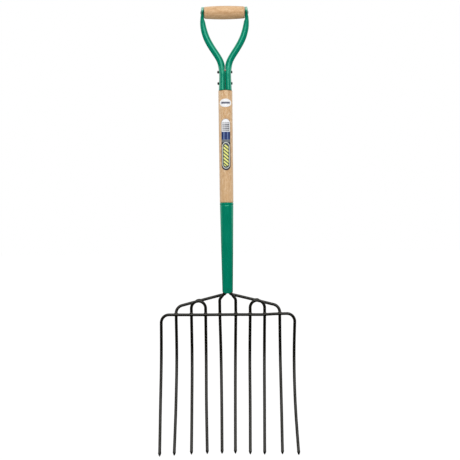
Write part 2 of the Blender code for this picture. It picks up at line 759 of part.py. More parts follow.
def rivet_head(seat, height):
    """Profile of a handle rivet from its shank over its head to the axis."""
    return [
        (2.4, seat), (4.0, seat), (3.9, seat + height * 0.33),
        (3.0, seat + height * 0.71), (1.6, seat + height * 0.93), (0, seat + height),
    ]


def build_handle_rivets():
    """Two rivets through arms and tenon: round heads left, lower hammered ends right."""
    for name, z in zip(("lower_handle_rivet", "upper_handle_rivet"), HANDLE_RIVET_Z):
        seat = outside_x(z, 4.2)
        right = rivet_head(seat, 2.6)[::-1]
        left = [(radius, -x) for radius, x in rivet_head(seat, 4.2)]
        turned(name, right + left, STEEL, steps=16, matrix=on_axis(0, z, ALONG_X))


def build_grip():
    """A turned wooden barrel that can turn on the long rivet through it."""
    bore = GRIP_RIVET_R + 0.4
    swell = GRIP_R_MID - GRIP_R_END
    barrel = []
    for i in range(7):
        z = (GRIP_HALF - 2.0) * (1 - 2 * i / 6)
        barrel.append((GRIP_R_END + swell * math.cos(math.pi / 2 * z / GRIP_HALF), z))
    end = [
        (bore, GRIP_HALF), (GRIP_R_END - 1.6, GRIP_HALF), (GRIP_R_END - 0.5, GRIP_HALF - 0.6),
    ]
    other_end = [(radius, -z) for radius, z in reversed(end)]
    turned(
        "grip", end + barrel + other_end, BEECH,
        closed=True, matrix=on_axis(0, GRIP_Z, ALONG_X),
    )


def build_grip_rivet():
    """The long rivet through both arms and the grip, with a low head at each end."""
    seat = outside_x(GRIP_Z, 4.6)
    head = [
        (0, seat + 1.1), (1.9, seat + 0.95), (3.6, seat + 0.55),
        (4.6, seat), (GRIP_RIVET_R, seat),
    ]
    turned(
        "grip_rivet", head + [(radius, -x) for radius, x in reversed(head)], GREEN,
        steps=GRIP_RIVET_STEPS, matrix=on_axis(0, GRIP_Z, ALONG_X),
    )


# ---------------------------------------------------------------- labels
LABEL_T = 0.25
LABEL_LIFT = 0.3  # from the shaft to the label's underside
LABEL_COLUMNS = 8
ROW_LIMIT = 0.994  # the end rows stop at this share of the half height, so that they keep a width


def label(name, mat, centre_z, half_width, half_height, corner, rows):
    """A thin sheet bent round the front of the shaft.

    half_width is measured round the shaft. corner is the height of each rounded end.
    """
    bm = bmesh.new()
    grid = []
    for i in range(rows + 1):
        # rows crowd towards the ends
        share = max(-ROW_LIMIT, min(ROW_LIMIT, -math.cos(math.pi * i / rows)))
        z = centre_z + share * half_height
        into_corner = max(0.0, abs(share * half_height) - (half_height - corner))
        width = half_width * math.sqrt(1 - (into_corner / corner) ** 2)
        swell = min(1.0, (z - SWELL_START_Z) / (SWELL_END_Z - SWELL_START_Z))
        radius = SHAFT_R + (SHAFT_TOP_R - SHAFT_R) * swell + LABEL_LIFT
        row = []
        for j in range(LABEL_COLUMNS + 1):
            angle = width * (2 * j / LABEL_COLUMNS - 1) / radius
            x, y = radius * math.sin(angle), -radius * math.cos(angle)
            row.append(bm.verts.new((x * MM, y * MM, z * MM)))
        grid.append(row)
    for low, high in zip(grid, grid[1:]):
        for j in range(LABEL_COLUMNS):
            bm.faces.new((low[j], low[j + 1], high[j + 1], high[j]))
    mesh = bpy.data.meshes.new(name)
    bm.to_mesh(mesh)
    bm.free()
    obj = place(bpy.data.objects.new(name, mesh), mat)
    mod = obj.modifiers.new("paper", "SOLIDIFY")
    mod.thickness = LABEL_T * MM
    mod.offset = 1.0
    mod.use_even_offset = True
    obj.matrix_world = TO_AXIS


# ---------------------------------------------------------------- build
rod_clearances = build_rods()
build_welds(rod_clearances)

nail_cutter = cylinder_cutter(
    "nail_hole", radius=1.9, length=40.0, matrix=on_axis(17.0, NAIL_Z, ALONG_Y)
)
rivet_cutters = [
    cylinder_cutter(
        f"handle_rivet_hole_{i}", radius=2.75, length=60.0, matrix=on_axis(0, z, ALONG_X)
    )
    for i, z in enumerate(HANDLE_RIVET_Z)
]
build_socket(rod_clearances, nail_cutter)
build_collar()
build_shaft(nail_cutter, rivet_cutters)
build_nail()

build_arms(rivet_cutters)
build_handle_rivets()
build_grip()
build_grip_rivet()

label(
    "oval_label", PAPER,
    centre_z=933.6, half_width=17.2, half_height=10.9, corner=10.9, rows=8,
)
label(
    "strip_label", BLUE,
    centre_z=824.0, half_width=12.6, half_height=68.0, corner=12.6, rows=10,
)
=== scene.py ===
"""A garden fork: ten tines on a steel head, a green socket, a wooden shaft and a D-shaped handle.

It stands upright on its tines: x runs across it (left is -x), -y is the front, z is up. The design
is in millimetres from the shaft's axis, with heights from a datum GROUND below the floor.
"""
import math
from collections import namedtuple

import bmesh
import bpy
from mathutils import Matrix, Vector


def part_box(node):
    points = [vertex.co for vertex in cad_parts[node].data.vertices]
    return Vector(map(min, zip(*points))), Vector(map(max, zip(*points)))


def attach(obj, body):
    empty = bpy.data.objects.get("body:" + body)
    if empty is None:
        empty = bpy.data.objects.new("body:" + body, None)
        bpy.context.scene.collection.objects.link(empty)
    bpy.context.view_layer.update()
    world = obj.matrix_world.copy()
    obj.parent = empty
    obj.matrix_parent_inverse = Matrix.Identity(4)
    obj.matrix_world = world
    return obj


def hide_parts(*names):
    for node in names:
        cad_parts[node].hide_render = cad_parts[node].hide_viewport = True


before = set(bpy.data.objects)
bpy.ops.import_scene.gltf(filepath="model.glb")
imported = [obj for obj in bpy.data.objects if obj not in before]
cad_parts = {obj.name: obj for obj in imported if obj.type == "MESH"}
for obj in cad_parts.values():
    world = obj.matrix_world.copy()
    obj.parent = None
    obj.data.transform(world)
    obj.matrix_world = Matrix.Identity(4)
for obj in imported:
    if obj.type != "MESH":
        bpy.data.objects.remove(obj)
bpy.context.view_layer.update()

MM = 0.001
GROUND = 12.0

grip_lo, grip_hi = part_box("grip")
AXIS = Vector(((grip_lo.x + grip_hi.x) / 2, (grip_lo.y + grip_hi.y) / 2, 0.0))
TO_AXIS = Matrix.Translation(AXIS - Vector((0, 0, GROUND * MM)))

# ---------------------------------------------------------------- dimensions, in millimetres
# rods of the head
ROD_R = 4.0
ROD_SKIN = 0.08  # how much thinner the rods are built
ROD_SIDES, ROD_STEP, ROD_WOBBLE = 24, 3.0, 0.003
ROD_TOP_Z = 490.0
BAR_Z, BAR_Y = 374.3, -0.3
BOW_FORWARD = 8.3  # the outer bow's tines lie this far in front of the others
CORNER_R = 20.5
ARCH_SPRING_Z = 391.5
BUNDLE = 4.3  # from the axis to the rods inside the socket
SHOULDER_R = 21.0
DIAGONAL_Z, DIAGONAL_SLOPE = 430.2, 0.255
# the crossbar's unevenness: (x, rise)
BAR_RISE = (
    (-180.0, 0.9), (-150.0, 0.9), (-115.0, 0.4), (-75.0, 0.0), (-20.0, -0.2), (20.0, -0.4),
    (60.0, -0.9), (97.0, -1.1), (120.0, 0.1), (150.0, 0.7), (180.0, 0.7),
)
# each tine from left to right: (x at each of TINE_HEIGHTS), lift of the point off the ground
TINE_HEIGHTS = (BAR_Z, 259.0, 141.5, GROUND)
TINES = (
    ((-176.9, -178.2, -180.4, -181.5), 0.0),
    ((-137.6, -137.5, -139.8, -143.8), 1.5),
    ((-96.9, -96.6, -97.7, -98.9), 3.5),
    ((-59.1, -59.2, -59.4, -57.6), 4.5),
    ((-21.4, -19.6, -19.1, -19.2), 4.5),
    ((20.9, 18.6, 16.9, 15.4), 4.5),
    ((59.1, 56.9, 56.0, 54.1), 2.4),
    ((97.5, 95.6, 93.9, 91.4), 1.5),
    ((137.6, 137.9, 138.4, 137.8), 1.6),
    ((177.6, 174.3, 174.8, 180.0), 0.0),
)
# a tine's sharpened end: (distance back from the tip, share of the rod's radius)
POINT = (
    (12.0, 1.0), (10.4, 1.045), (8.8, 1.03), (7.2, 0.93), (5.6, 0.78),
    (4.0, 0.6), (2.6, 0.43), (1.4, 0.28), (0.5, 0.17), (0.0, 0.09),
)
TIP_GAP = 0.25  # between a tip and its lowest place
# the tines' curve seen from the side: (z, y)
DISH = (
    (12.0, -73.0), (57.0, -50.5), (104.0, -29.5), (151.0, -12.0), (200.0, 2.8), (249.0, 12.0),
    (290.0, 15.0), (330.0, 13.0), (374.3, 8.0), (391.5, 5.6), (411.0, 2.5),
)
# the diagonal rods seen from above: (distance from the axis in x, y)
DIAGONAL_Y = (
    (4.3, 4.3), (14.0, 6.0), (30.0, 8.6), (60.0, 11.1), (78.0, 11.6), (95.0, 11.8),
    (110.0, 11.3), (137.6, 8.5),
)

# socket and shaft
SOCKET_TOP_Z, SOCKET_END_Z = 670.6, 440.0
SOCKET_TOP_R, SOCKET_END_R, SOCKET_WALL = 18.1, 13.95, 1.6
SOCKET_FIT = 0.3  # play between the socket's wall and the shaft
NAIL_Z = 600.0
SHAFT_R, SHAFT_TOP_R = 18.0, 18.6
SHAFT_SHOULDER_Z, TENON_TOP_Z, TENON_FOOT_Z = 967.0, 1021.0, 500.0

# handle
HANDLE_RIVET_Z = (986.6, 1016.6)
HANDLE_FOOT_Z = 967.8
GRIP_Z, GRIP_HALF, GRIP_R_MID, GRIP_R_END, GRIP_RIVET_R = 1174.3, 53.5, 17.9, 15.8, 3.0
# the arms' tube: (z, centre x, half thickness in x, half depth in y, superellipse exponent)
ARM = (
    (1029.0, 9.05, 8.85, 9.6, 2.0), (1033.6, 9.5, 9.15, 9.3, 2.0), (1038.3, 10.4, 9.1, 9.1, 2.0),
    (1047.8, 13.7, 8.9, 8.8, 2.0), (1057.1, 18.7, 8.8, 8.7, 2.0), (1066.4, 24.5, 8.8, 8.7, 2.0),
    (1075.6, 30.6, 8.8, 8.7, 2.0), (1084.9, 36.4, 8.8, 8.7, 2.0), (1094.2, 41.7, 8.8, 8.7, 2.0),
    (1103.5, 46.3, 8.8, 8.6, 2.0), (1112.8, 50.1, 8.7, 8.5, 2.0), (1122.1, 53.0, 8.5, 8.4, 2.0),
    (1131.4, 55.4, 8.2, 8.4, 2.05), (1140.7, 57.0, 7.7, 8.5, 2.1), (1150.0, 58.1, 6.8, 8.8, 2.2),
    (1158.1, 59.0, 5.2, 9.4, 2.3), (1162.6, 58.8, 5.0, 10.8, 2.5),
    (1166.6, 58.45, 4.65, 12.8, 2.7), (1170.6, 58.1, 4.3, 14.2, 2.9),
    (1174.6, 58.0, 4.2, 14.7, 3.0), (1179.2, 58.0, 4.2, 14.2, 3.0),
    (1184.2, 57.9, 4.0, 12.4, 2.8), (1187.9, 57.6, 3.6, 9.4, 2.6), (1190.6, 57.4, 3.0, 5.8, 2.4),
    (1191.9, 57.3, 2.2, 2.7, 2.2),
)
ARM_FOOT_Z = ARM[0][0]
ARM_CENTRE, ARM_THICK, ARM_DEEP, ARM_POWER = (
    [(row[0], row[column]) for row in ARM] for column in (1, 2, 3, 4)
)
# the half shell round the tenon, from its front lip to its side: (x, y)
LIP_X = 0.45
SHELL = (
    (LIP_X, -12.9), (1.5, -14.3), (4.6, -16.0), (8.2, -16.5), (11.9, -14.2), (14.7, -8.0),
    (15.5, 0.0),
)
# how far out the shell's side stands: (z, x)
SHELL_SIDE = (
    (HANDLE_FOOT_Z, 17.6), (980.0, 17.0), (995.0, 16.4), (1006.0, 16.1), (1015.0, 16.2),
    (1030.0, 17.0),
)

# labels: centre z, half width, half height
OVAL_LABEL = (933.6, 17.2, 10.9)
STRIP_LABEL = (824.0, 12.6, 68.0)


# ---------------------------------------------------------------- curves
def through(knots, x):
    """Smooth value at x through (x, value) knots in rising order, straight beyond the ends."""
    if x <= knots[0][0]:
        (x0, y0), (x1, y1) = knots[0], knots[1]
        return y0 + (y1 - y0) * (x - x0) / (x1 - x0)
    if x >= knots[-1][0]:
        (x0, y0), (x1, y1) = knots[-2], knots[-1]
        return y1 + (y1 - y0) * (x - x1) / (x1 - x0)
    i = max(k for k in range(len(knots) - 1) if knots[k][0] <= x)
    (x0, y0), (x1, y1) = knots[i], knots[i + 1]
    slope = (y1 - y0) / (x1 - x0)

    def tangent(k):
        if k == 0 or k == len(knots) - 1:
            return slope
        (xa, ya), (xb, yb), (xc, yc) = knots[k - 1], knots[k], knots[k + 1]
        left, right = (yb - ya) / (xb - xa), (yc - yb) / (xc - xb)
        return (left * (xc - xb) + right * (xb - xa)) / (xc - xa)

    span = x1 - x0
    t = (x - x0) / span
    start, end = tangent(i) * span, tangent(i + 1) * span
    return (
        y0 * (2 * t**3 - 3 * t**2 + 1) + start * (t**3 - 2 * t**2 + t)
        + y1 * (3 * t**2 - 2 * t**3) + end * (t**3 - t**2)
    )


def smooth(t):
    t = max(0.0, min(1.0, t))
    return t * t * (3 - 2 * t)


def bell(x, middle, width):
    return math.exp(-(((x - middle) / width) ** 2))


def quarter(steps, first=1):
    """Angles that divide a right angle, from step number first to 90 degrees."""
    return [math.radians(90 * k / steps) for k in range(first, steps + 1)]


def spaced(start, end, step):
    count = max(1, int(abs(end - start) / step))
    return [start + (end - start) * k / count for k in range(count + 1)]


def rounded(points, radii, steps):
    """The line through points, with an arc of the given radius at each inner one."""
    points = [Vector(p) for p in points]
    out = [points[0]]
    for before, corner, after, radius in zip(points, points[1:], points[2:], radii):
        back, on = (before - corner).normalized(), (after - corner).normalized()
        turn = math.pi - back.angle(on)
        reach = radius * math.tan(turn / 2)
        centre = corner + (back + on).normalized() * (radius / math.cos(turn / 2))
        start, end = corner + back * reach - centre, corner + on * reach - centre
        for step in range(steps + 1):
            f = step / steps
            start_weight = math.sin((1 - f) * turn) / math.sin(turn)
            end_weight = math.sin(f * turn) / math.sin(turn)
            out.append(centre + start * start_weight + end * end_weight)
    out.append(points[-1])
    return out


def resample(line, step):
    """Divides the longer gaps of a line of (point, share) evenly; its own points stay."""
    out = [line[0]]
    for (p, p_share), (q, q_share) in zip(line, line[1:]):
        count = max(1, int(round((q - p).length / step)))
        for k in range(1, count + 1):
            out.append((p.lerp(q, k / count), p_share + (q_share - p_share) * k / count))
    return out


# ---------------------------------------------------------------- meshes
Look = namedtuple("Look", "material slot")


def place(point):
    """From the design's millimetres to the scene's metres."""
    return TO_AXIS @ (point * MM)


def new_object(name, surface):
    mesh = bpy.data.meshes.new(name)
    surface.to_mesh(mesh)
    surface.free()
    obj = bpy.data.objects.new(name, mesh)
    bpy.context.scene.collection.objects.link(obj)
    return obj


def solid(name, surface):
    bmesh.ops.recalc_face_normals(surface, faces=surface.faces)
    return new_object(name, surface)


def dress(obj, piece, look, sharp, body="fork"):
    """Shades the object, gives it its look and lets it stand for a CAD piece."""
    obj.data.shade_smooth()
    obj.data.set_sharp_from_angle(angle=math.radians(sharp))
    obj.data.materials.clear()
    obj.data.materials.append(look.material)
    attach(obj, body)
    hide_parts(piece)


def build(piece, surface, look, sharp, body="fork"):
    dress(solid("fine_" + piece, surface), piece, look, sharp, body)


def skin(surface, low, high):
    """Faces between two rings of vertices."""
    count = len(low)
    for i in range(count):
        j = (i + 1) % count
        surface.faces.new((low[i], low[j], high[j], high[i]))


def capped(rings):
    """A solid through rings of points, closed at both ends."""
    surface = bmesh.new()
    rows = [[surface.verts.new(p) for p in ring] for ring in rings]
    for low, high in zip(rows, rows[1:]):
        skin(surface, low, high)
    surface.faces.new(list(reversed(rows[0])))
    surface.faces.new(rows[-1])
    return surface


def looped(rings):
    """A tube with walls: the last ring joins the first."""
    surface = bmesh.new()
    rows = [[surface.verts.new(p) for p in ring] for ring in rings]
    for low, high in zip(rows, rows[1:] + rows[:1]):
        skin(surface, low, high)
    return surface


def turned(profile, sides, matrix=Matrix.Identity(4), shape=None):
    """Rings round local z for (radius, height) points; shape may move each point."""
    rings = []
    for radius, z in profile:
        ring = []
        for k in range(sides):
            w = 2 * math.pi * k / sides
            p = Vector((math.cos(w) * radius, math.sin(w) * radius, z))
            if shape:
                p = shape(p, w)
            ring.append(place(matrix @ p))
        rings.append(ring)
    return rings


def along_x(z):
    """Lays a turned piece along +x at height z."""
    return Matrix.Translation((0, 0, z)) @ Matrix.Rotation(math.radians(90), 4, "Y")


# ---------------------------------------------------------------- node materials
def srgb(*levels):
    """Linear colour from 0-255 display levels."""
    def linear(level):
        level /= 255.0
        return level / 12.92 if level <= 0.04045 else ((level + 0.055) / 1.055) ** 2.4
    return tuple(linear(level) for level in levels)


def opaque(colour):
    return (*colour, 1.0) if isinstance(colour, tuple) else colour


class Nodes:
    """Short calls for building a node tree."""

    def __init__(self, tree):
        self.tree = tree

    def new(self, kind, inputs=None, **settings):
        node = self.tree.nodes.new("ShaderNode" + kind)
        for key, value in settings.items():
            setattr(node, key, value)
        for key, value in (inputs or {}).items():
            self.set(node.inputs[key], value)
        return node

    def set(self, socket, value):
        if isinstance(value, bpy.types.NodeSocket):
            self.tree.links.new(value, socket)
        elif isinstance(value, bpy.types.Node):
            self.tree.links.new(value.outputs[0], socket)
        else:
            socket.default_value = value

    def calc(self, operation, *values):
        return self.new("Math", dict(enumerate(values)), operation=operation).outputs[0]

    def times(self, a, b):
        return self.calc("MULTIPLY", a, b)

    def plus(self, a, b):
        return self.calc("ADD", a, b)

    def weighted(self, *parts, base):
        """The sum of (value, weight) parts, plus base."""
        total = None
        for value, weight in parts:
            part = self.times(value, weight)
            total = part if total is None else self.plus(total, part)
        return self.plus(total, base)

    def fade(self, value, start, end, low=0.0, high=1.0, kind="LINEAR"):
        """From low to high while value goes from start to end."""
        return self.new("MapRange", {
            "Value": value, "From Min": start, "From Max": end, "To Min": low, "To Max": high,
        }, interpolation_type=kind).outputs[0]

    def ease(self, value, start, end, low=0.0, high=1.0):
        return self.fade(value, start, end, low, high, "SMOOTHSTEP")

    def window(self, value, rise, fall):
        """1 between two fades, each (where it is 0, 1) or (where it is 1, 0) turned round."""
        return self.times(self.fade(value, *rise), self.fade(value, *fall))

    def band(self, value, low, high, soft):
        """1 between low and high, with soft edges."""
        return self.window(value, (low - soft, low + soft), (high + soft, high - soft))

    def choose(self, factor, a, b):
        """Goes from number a to number b."""
        return self.new("Mix", {0: factor, 2: a, 3: b}).outputs[0]

    def noise(self, vector, scale, detail=4.0, roughness=0.55):
        return self.new("TexNoise", {
            "Vector": vector, "Scale": scale, "Detail": detail, "Roughness": roughness,
        }).outputs["Fac"]

    def ramp(self, factor, stops):
        node = self.new("ValToRGB", {"Fac": factor})
        elements = node.color_ramp.elements
        while len(elements) < len(stops):
            elements.new(0.5)
        for element, (position, colour) in zip(elements, stops):
            element.position = position
            element.color = opaque(colour)
        return node.outputs["Color"]

    def grey(self, factor, *stops):
        return self.ramp(factor, [(position, (v, v, v)) for position, v in stops])

    def mix(self, factor, a, b):
        return self.new("Mix", {0: factor, 6: opaque(a), 7: opaque(b)}, data_type="RGBA").outputs[2]

    def tint(self, base, colour, mask, strength):
        return self.mix(self.times(mask, strength), base, colour)

    def bump(self, height, strength, distance, normal=None):
        node = self.new("Bump", {"Height": height, "Strength": strength, "Distance": distance})
        if normal is not None:
            self.set(node.inputs["Normal"], normal)
        return node.outputs["Normal"]


class MaterialNodes(Nodes):
    def __init__(self, name):
        self.material = bpy.data.materials.new(name)
        self.material.use_nodes = True
        super().__init__(self.material.node_tree)
        self.bsdf = self.tree.nodes["Principled BSDF"]
        self.coord = self.new("TexCoord")
        self.where = self.coord.outputs["Object"]

    def mapped(self, scale, location=(0, 0, 0), vector=None, rotation=(0, 0, 0)):
        return self.new("Mapping", {
            "Scale": scale, "Location": location, "Rotation": rotation,
            "Vector": vector or self.where,
        }).outputs[0]

    def height(self):
        return self.new("SeparateXYZ", {0: self.where}).outputs[2]

    def done(self, **inputs):
        """Sets the shader's inputs, named with _ for a space."""
        for key, value in inputs.items():
            self.set(self.bsdf.inputs[key.replace("_", " ")], value)
        return self.material


def black_lacquer():
    mat = MaterialNodes("black_lacquer")
    cloud = mat.noise(mat.mapped(scale=(1, 1, 0.35)), scale=42.0, detail=5.0, roughness=0.6)
    drips = mat.noise(mat.mapped(scale=(1, 1, 0.08)), scale=900.0, detail=2.0, roughness=0.5)
    fine = mat.noise(mat.where, scale=2600.0, detail=2.0, roughness=0.6)
    return mat.done(
        Base_Color=mat.ramp(cloud, [
            (0.3, srgb(6, 6, 2)), (0.55, srgb(13, 12, 7)), (0.75, srgb(20, 18, 11)),
        ]),
        Roughness=mat.weighted((cloud, 0.16), (fine, 0.06), base=0.1),
        Normal=mat.bump(
            fine, strength=0.04, distance=0.00004,
            normal=mat.bump(drips, strength=0.06, distance=0.0001),
        ),
        Coat_Weight=0.1, Coat_Roughness=0.2,
        Specular_IOR_Level=0.5, Specular_Tint=(1.0, 0.98, 0.9, 1.0),
    )


def weld_metal():
    mat = MaterialNodes("weld_metal")
    patch = mat.noise(mat.where, scale=260.0, detail=4.0, roughness=0.6)
    fine = mat.noise(mat.where, scale=1500.0, detail=3.0, roughness=0.6)
    return mat.done(
        Base_Color=mat.ramp(patch, [
            (0.32, srgb(22, 20, 16)), (0.52, srgb(52, 47, 38)), (0.72, srgb(88, 79, 64)),
        ]),
        Roughness=mat.weighted((patch, 0.3), base=0.25),
        Normal=mat.bump(fine, strength=0.5, distance=0.0002),
        Metallic=0.25, Coat_Weight=0.3, Coat_Roughness=0.25,
    )


def green_enamel():
    mat = MaterialNodes("green_enamel")
    cloud = mat.noise(mat.mapped(scale=(1, 1, 0.25)), scale=55.0, detail=5.0, roughness=0.55)
    peel = mat.noise(mat.where, scale=850.0, detail=2.0, roughness=0.5)
    fine = mat.noise(mat.where, scale=3600.0, detail=2.0, roughness=0.5)
    colour = mat.ramp(cloud, [
        (0.25, srgb(0, 136, 103)), (0.5, srgb(0, 145, 113)), (0.78, srgb(5, 152, 120)),
    ])
    # thin paint on sharp edges, painted shade in the corners and creases (the dent mask), dark
    # specks
    point = mat.new("NewGeometry").outputs["Pointiness"]
    edge = mat.grey(point, (0.52, 0.0), (0.60, 1.0))
    dent = mat.grey(point, (0.40, 1.0), (0.48, 0.0))
    colour = mat.tint(colour, srgb(52, 148, 120), mask=edge, strength=0.35)
    colour = mat.tint(colour, srgb(4, 74, 56), mask=dent, strength=0.55)
    speck = mat.noise(mat.where, scale=620.0, detail=2.0, roughness=0.7)
    speck = mat.grey(speck, (0.71, 0.0), (0.74, 1.0))
    colour = mat.tint(colour, srgb(0, 96, 72), mask=speck, strength=0.12)
    # the two eyes at the top, in metres: painted shade round the rivet, and a painted highlight on
    # the eye's top above it
    xyz = mat.new("SeparateXYZ", {0: mat.where}).outputs
    far = mat.fade(mat.calc("ABSOLUTE", xyz[0]), start=0.046, end=0.050)
    painted_rivet_shade = mat.window(xyz[2], rise=(1.1540, 1.1590), fall=(1.1665, 1.1630))
    painted_eye_highlight = mat.window(xyz[2], rise=(1.1660, 1.1695), fall=(1.1785, 1.1750))
    colour = mat.tint(colour, srgb(8, 66, 50), mask=mat.times(painted_rivet_shade, far), strength=0.55)
    colour = mat.tint(colour, srgb(192, 224, 210), mask=mat.times(painted_eye_highlight, far), strength=0.55)
    return mat.done(
        Base_Color=colour,
        Roughness=mat.weighted((cloud, 0.1), base=0.08),
        Normal=mat.bump(
            fine, strength=0.1, distance=0.00006,
            normal=mat.bump(peel, strength=0.14, distance=0.0002),
        ),
        Metallic=0.28, Coat_Weight=0.05, Coat_Roughness=0.12, Specular_IOR_Level=0.5,
    )


def dark_steel():
    mat = MaterialNodes("dark_steel")
    patch = mat.noise(mat.where, scale=420.0, detail=4.0, roughness=0.6)
    fine = mat.noise(mat.where, scale=2600.0, detail=2.0, roughness=0.6)
    return mat.done(
        Base_Color=mat.ramp(patch, [
            (0.3, srgb(38, 42, 39)), (0.55, srgb(72, 76, 71)), (0.8, srgb(104, 103, 94)),
        ]),
        Roughness=mat.weighted((patch, 0.3), base=0.22),
        Normal=mat.bump(fine, strength=0.35, distance=0.00012),
        Metallic=0.75,
    )


GRAIN_X, GRAIN_Z = 0, 2


def wood(name, along, tones, ring_scale, seed, fleck_rise=None):
    """Varnished hardwood with its grain along one axis.

    tones: dark, middle and light ground, then late wood, pale streaks and pores.
    fleck_rise: the heights in metres between which the flecks fade in; None for even flecks.
    """
    mat = MaterialNodes(name)
    dark, middle, light, late_tone, pale_tone, pore_tone = tones
    offset = (seed, seed * 0.7, seed * 1.3)

    def grain(stretch, **mapping):
        scale = tuple(stretch if i == along else 1.0 for i in range(3))
        return mat.mapped(scale=scale, location=offset, **mapping)

    def vector(operation, a, b):
        return mat.new("VectorMath", {0: a, 1: b}, operation=operation).outputs[0]

    # the whole board wanders a little, so that no streak is ruler-straight
    bend = mat.new("TexNoise", {"Vector": grain(0.9), "Scale": 9.0, "Detail": 2.0})
    bend = vector("SUBTRACT", bend.outputs["Color"], (0.5, 0.5, 0.5))
    bend = vector("MULTIPLY", bend, (0.010, 0.010, 0.010))
    bent = vector("ADD", mat.where, bend)
    # growth rings: bands through a leaning board
    rings = mat.new("TexWave", {
        "Vector": grain(0.035, vector=bent, rotation=(0.21, 0.13, 0.6)), "Scale": ring_scale,
        "Distortion": 3.2, "Detail": 2.5, "Detail Scale": 1.4, "Detail Roughness": 0.55,
    }, wave_type="BANDS", bands_direction="X", wave_profile="SAW").outputs["Fac"]
    streak = mat.noise(grain(0.03, vector=bent), scale=420.0, detail=5.0, roughness=0.62)
    tone = mat.noise(grain(0.12, vector=bent), scale=60.0, detail=3.0, roughness=0.5)
    colour = mat.ramp(tone, [(0.3, dark), (0.5, middle), (0.72, light)])
    late = mat.grey(rings, (0.0, 0.0), (0.55, 0.12), (0.86, 0.75), (0.97, 1.0), (1.0, 0.0))
    colour = mat.tint(colour, late_tone, mask=late, strength=0.30)
    colour = mat.mix(mat.grey(streak, (0.40, 0.26), (0.56, 0.0)), colour, late_tone)
    colour = mat.mix(mat.grey(streak, (0.56, 0.0), (0.74, 0.38)), colour, pale_tone)
    # soft mottling, a few millimetres across
    patch = mat.noise(grain(0.45, vector=bent), scale=210.0, detail=3.0, roughness=0.6)
    mottling, flecks = 0.5, 0.75
    if fleck_rise:
        mottling = mat.ease(mat.height(), *fleck_rise, low=0.25)
        flecks = mat.weighted((mat.ease(mat.height(), *fleck_rise), 0.85), base=0.12)
    dark_patch = mat.grey(patch, (0.54, 0.0), (0.66, 0.5))
    pale_patch = mat.grey(patch, (0.34, 0.62), (0.46, 0.0))
    colour = mat.tint(colour, late_tone, mask=dark_patch, strength=mottling)
    colour = mat.tint(colour, pale_tone, mask=pale_patch, strength=mottling)
    # open pores: short fine dashes
    pores = mat.noise(grain(0.09), scale=2300.0, detail=1.0, roughness=0.5)
    pores = mat.grey(pores, (0.60, 0.0), (0.69, 1.0))
    colour = mat.tint(colour, pore_tone, mask=pores, strength=0.24)
    # rays: short lens-shaped flecks
    ray = mat.noise(grain(0.42), scale=640.0, detail=2.0, roughness=0.55)
    dark_ray = mat.grey(ray, (0.56, 0.0), (0.66, 1.0))
    pale_ray = mat.grey(ray, (0.30, 1.0), (0.42, 0.0))
    colour = mat.tint(colour, late_tone, mask=mat.times(dark_ray, flecks), strength=0.5)
    colour = mat.tint(colour, pale_tone, mask=mat.times(pale_ray, flecks), strength=0.42)
    if along == GRAIN_Z:
        # the tenon between the half shells: painted shade where it shows in the slit between them,
        # its sawn top left pale
        painted_groove_shade = mat.window(mat.height(), rise=(0.9550, 0.9556), fall=(1.0084, 1.0076))
        colour = mat.tint(colour, srgb(12, 22, 14), mask=painted_groove_shade, strength=0.98)
    relief = mat.calc("SUBTRACT", mat.times(streak, 0.5), pores)
    return mat.done(
        Base_Color=colour,
        Roughness=mat.weighted((streak, 0.2), base=0.32),
        Normal=mat.bump(relief, strength=0.22, distance=0.00012),
        Coat_Weight=0.22, Coat_Roughness=0.2, Specular_IOR_Level=0.4,
    )


def label_uv(mat):
    """Millimetres across and up from the middle of the label."""
    uv = mat.new("SeparateXYZ", {0: mat.coord.outputs["UV"]})
    return uv.outputs[0], uv.outputs[1]


def pill(mat, x, y, half_length, radius, soft):
    """1 inside a vertical pill round the origin of x, y."""
    over = mat.calc("SUBTRACT", mat.calc("ABSOLUTE", y), half_length - radius)
    over = mat.calc("MAXIMUM", over, 0.0)
    distance = mat.calc("SQRT", mat.plus(mat.times(x, x), mat.times(over, over)))
    return mat.fade(distance, start=radius + soft, end=radius - soft)


LABEL_GLOSS = {"Roughness": 0.3, "Coat_Weight": 0.2, "Coat_Roughness": 0.12}


def oval_label_material():
    """White, with one soft dark bar that is a little uneven along its length."""
    mat = MaterialNodes("oval_label_print")
    x, y = label_uv(mat)
    paper = mat.ramp(mat.noise(mat.where, scale=900.0, detail=3.0), [
        (0.3, srgb(238, 239, 241)), (0.7, srgb(250, 250, 251)),
    ])
    along = mat.new("CombineXYZ", {0: x, 1: 0.0, 2: 0.0}).outputs[0]
    uneven = mat.noise(along, scale=0.28, detail=1.0, roughness=0.5)
    uneven = mat.grey(uneven, (0.34, 0.9), (0.6, 1.0))
    bar = mat.times(
        mat.band(y, low=-2.2, high=2.8, soft=0.9), mat.band(x, low=-12.4, high=12.6, soft=1.6),
    )
    bar = mat.times(bar, uneven)
    colour = mat.tint(paper, srgb(54, 60, 90), mask=bar, strength=0.95)
    return mat.done(Base_Color=colour, **LABEL_GLOSS)


# the strip label's grey bars, in mm: (low y, high y, weight)
STRIP_BARS = (
    (55.0, 58.2, 0.7), (49.6, 53.4, 1.0), (44.5, 48.0, 0.95), (39.5, 43.0, 1.0),
    (35.2, 38.2, 0.85),
)


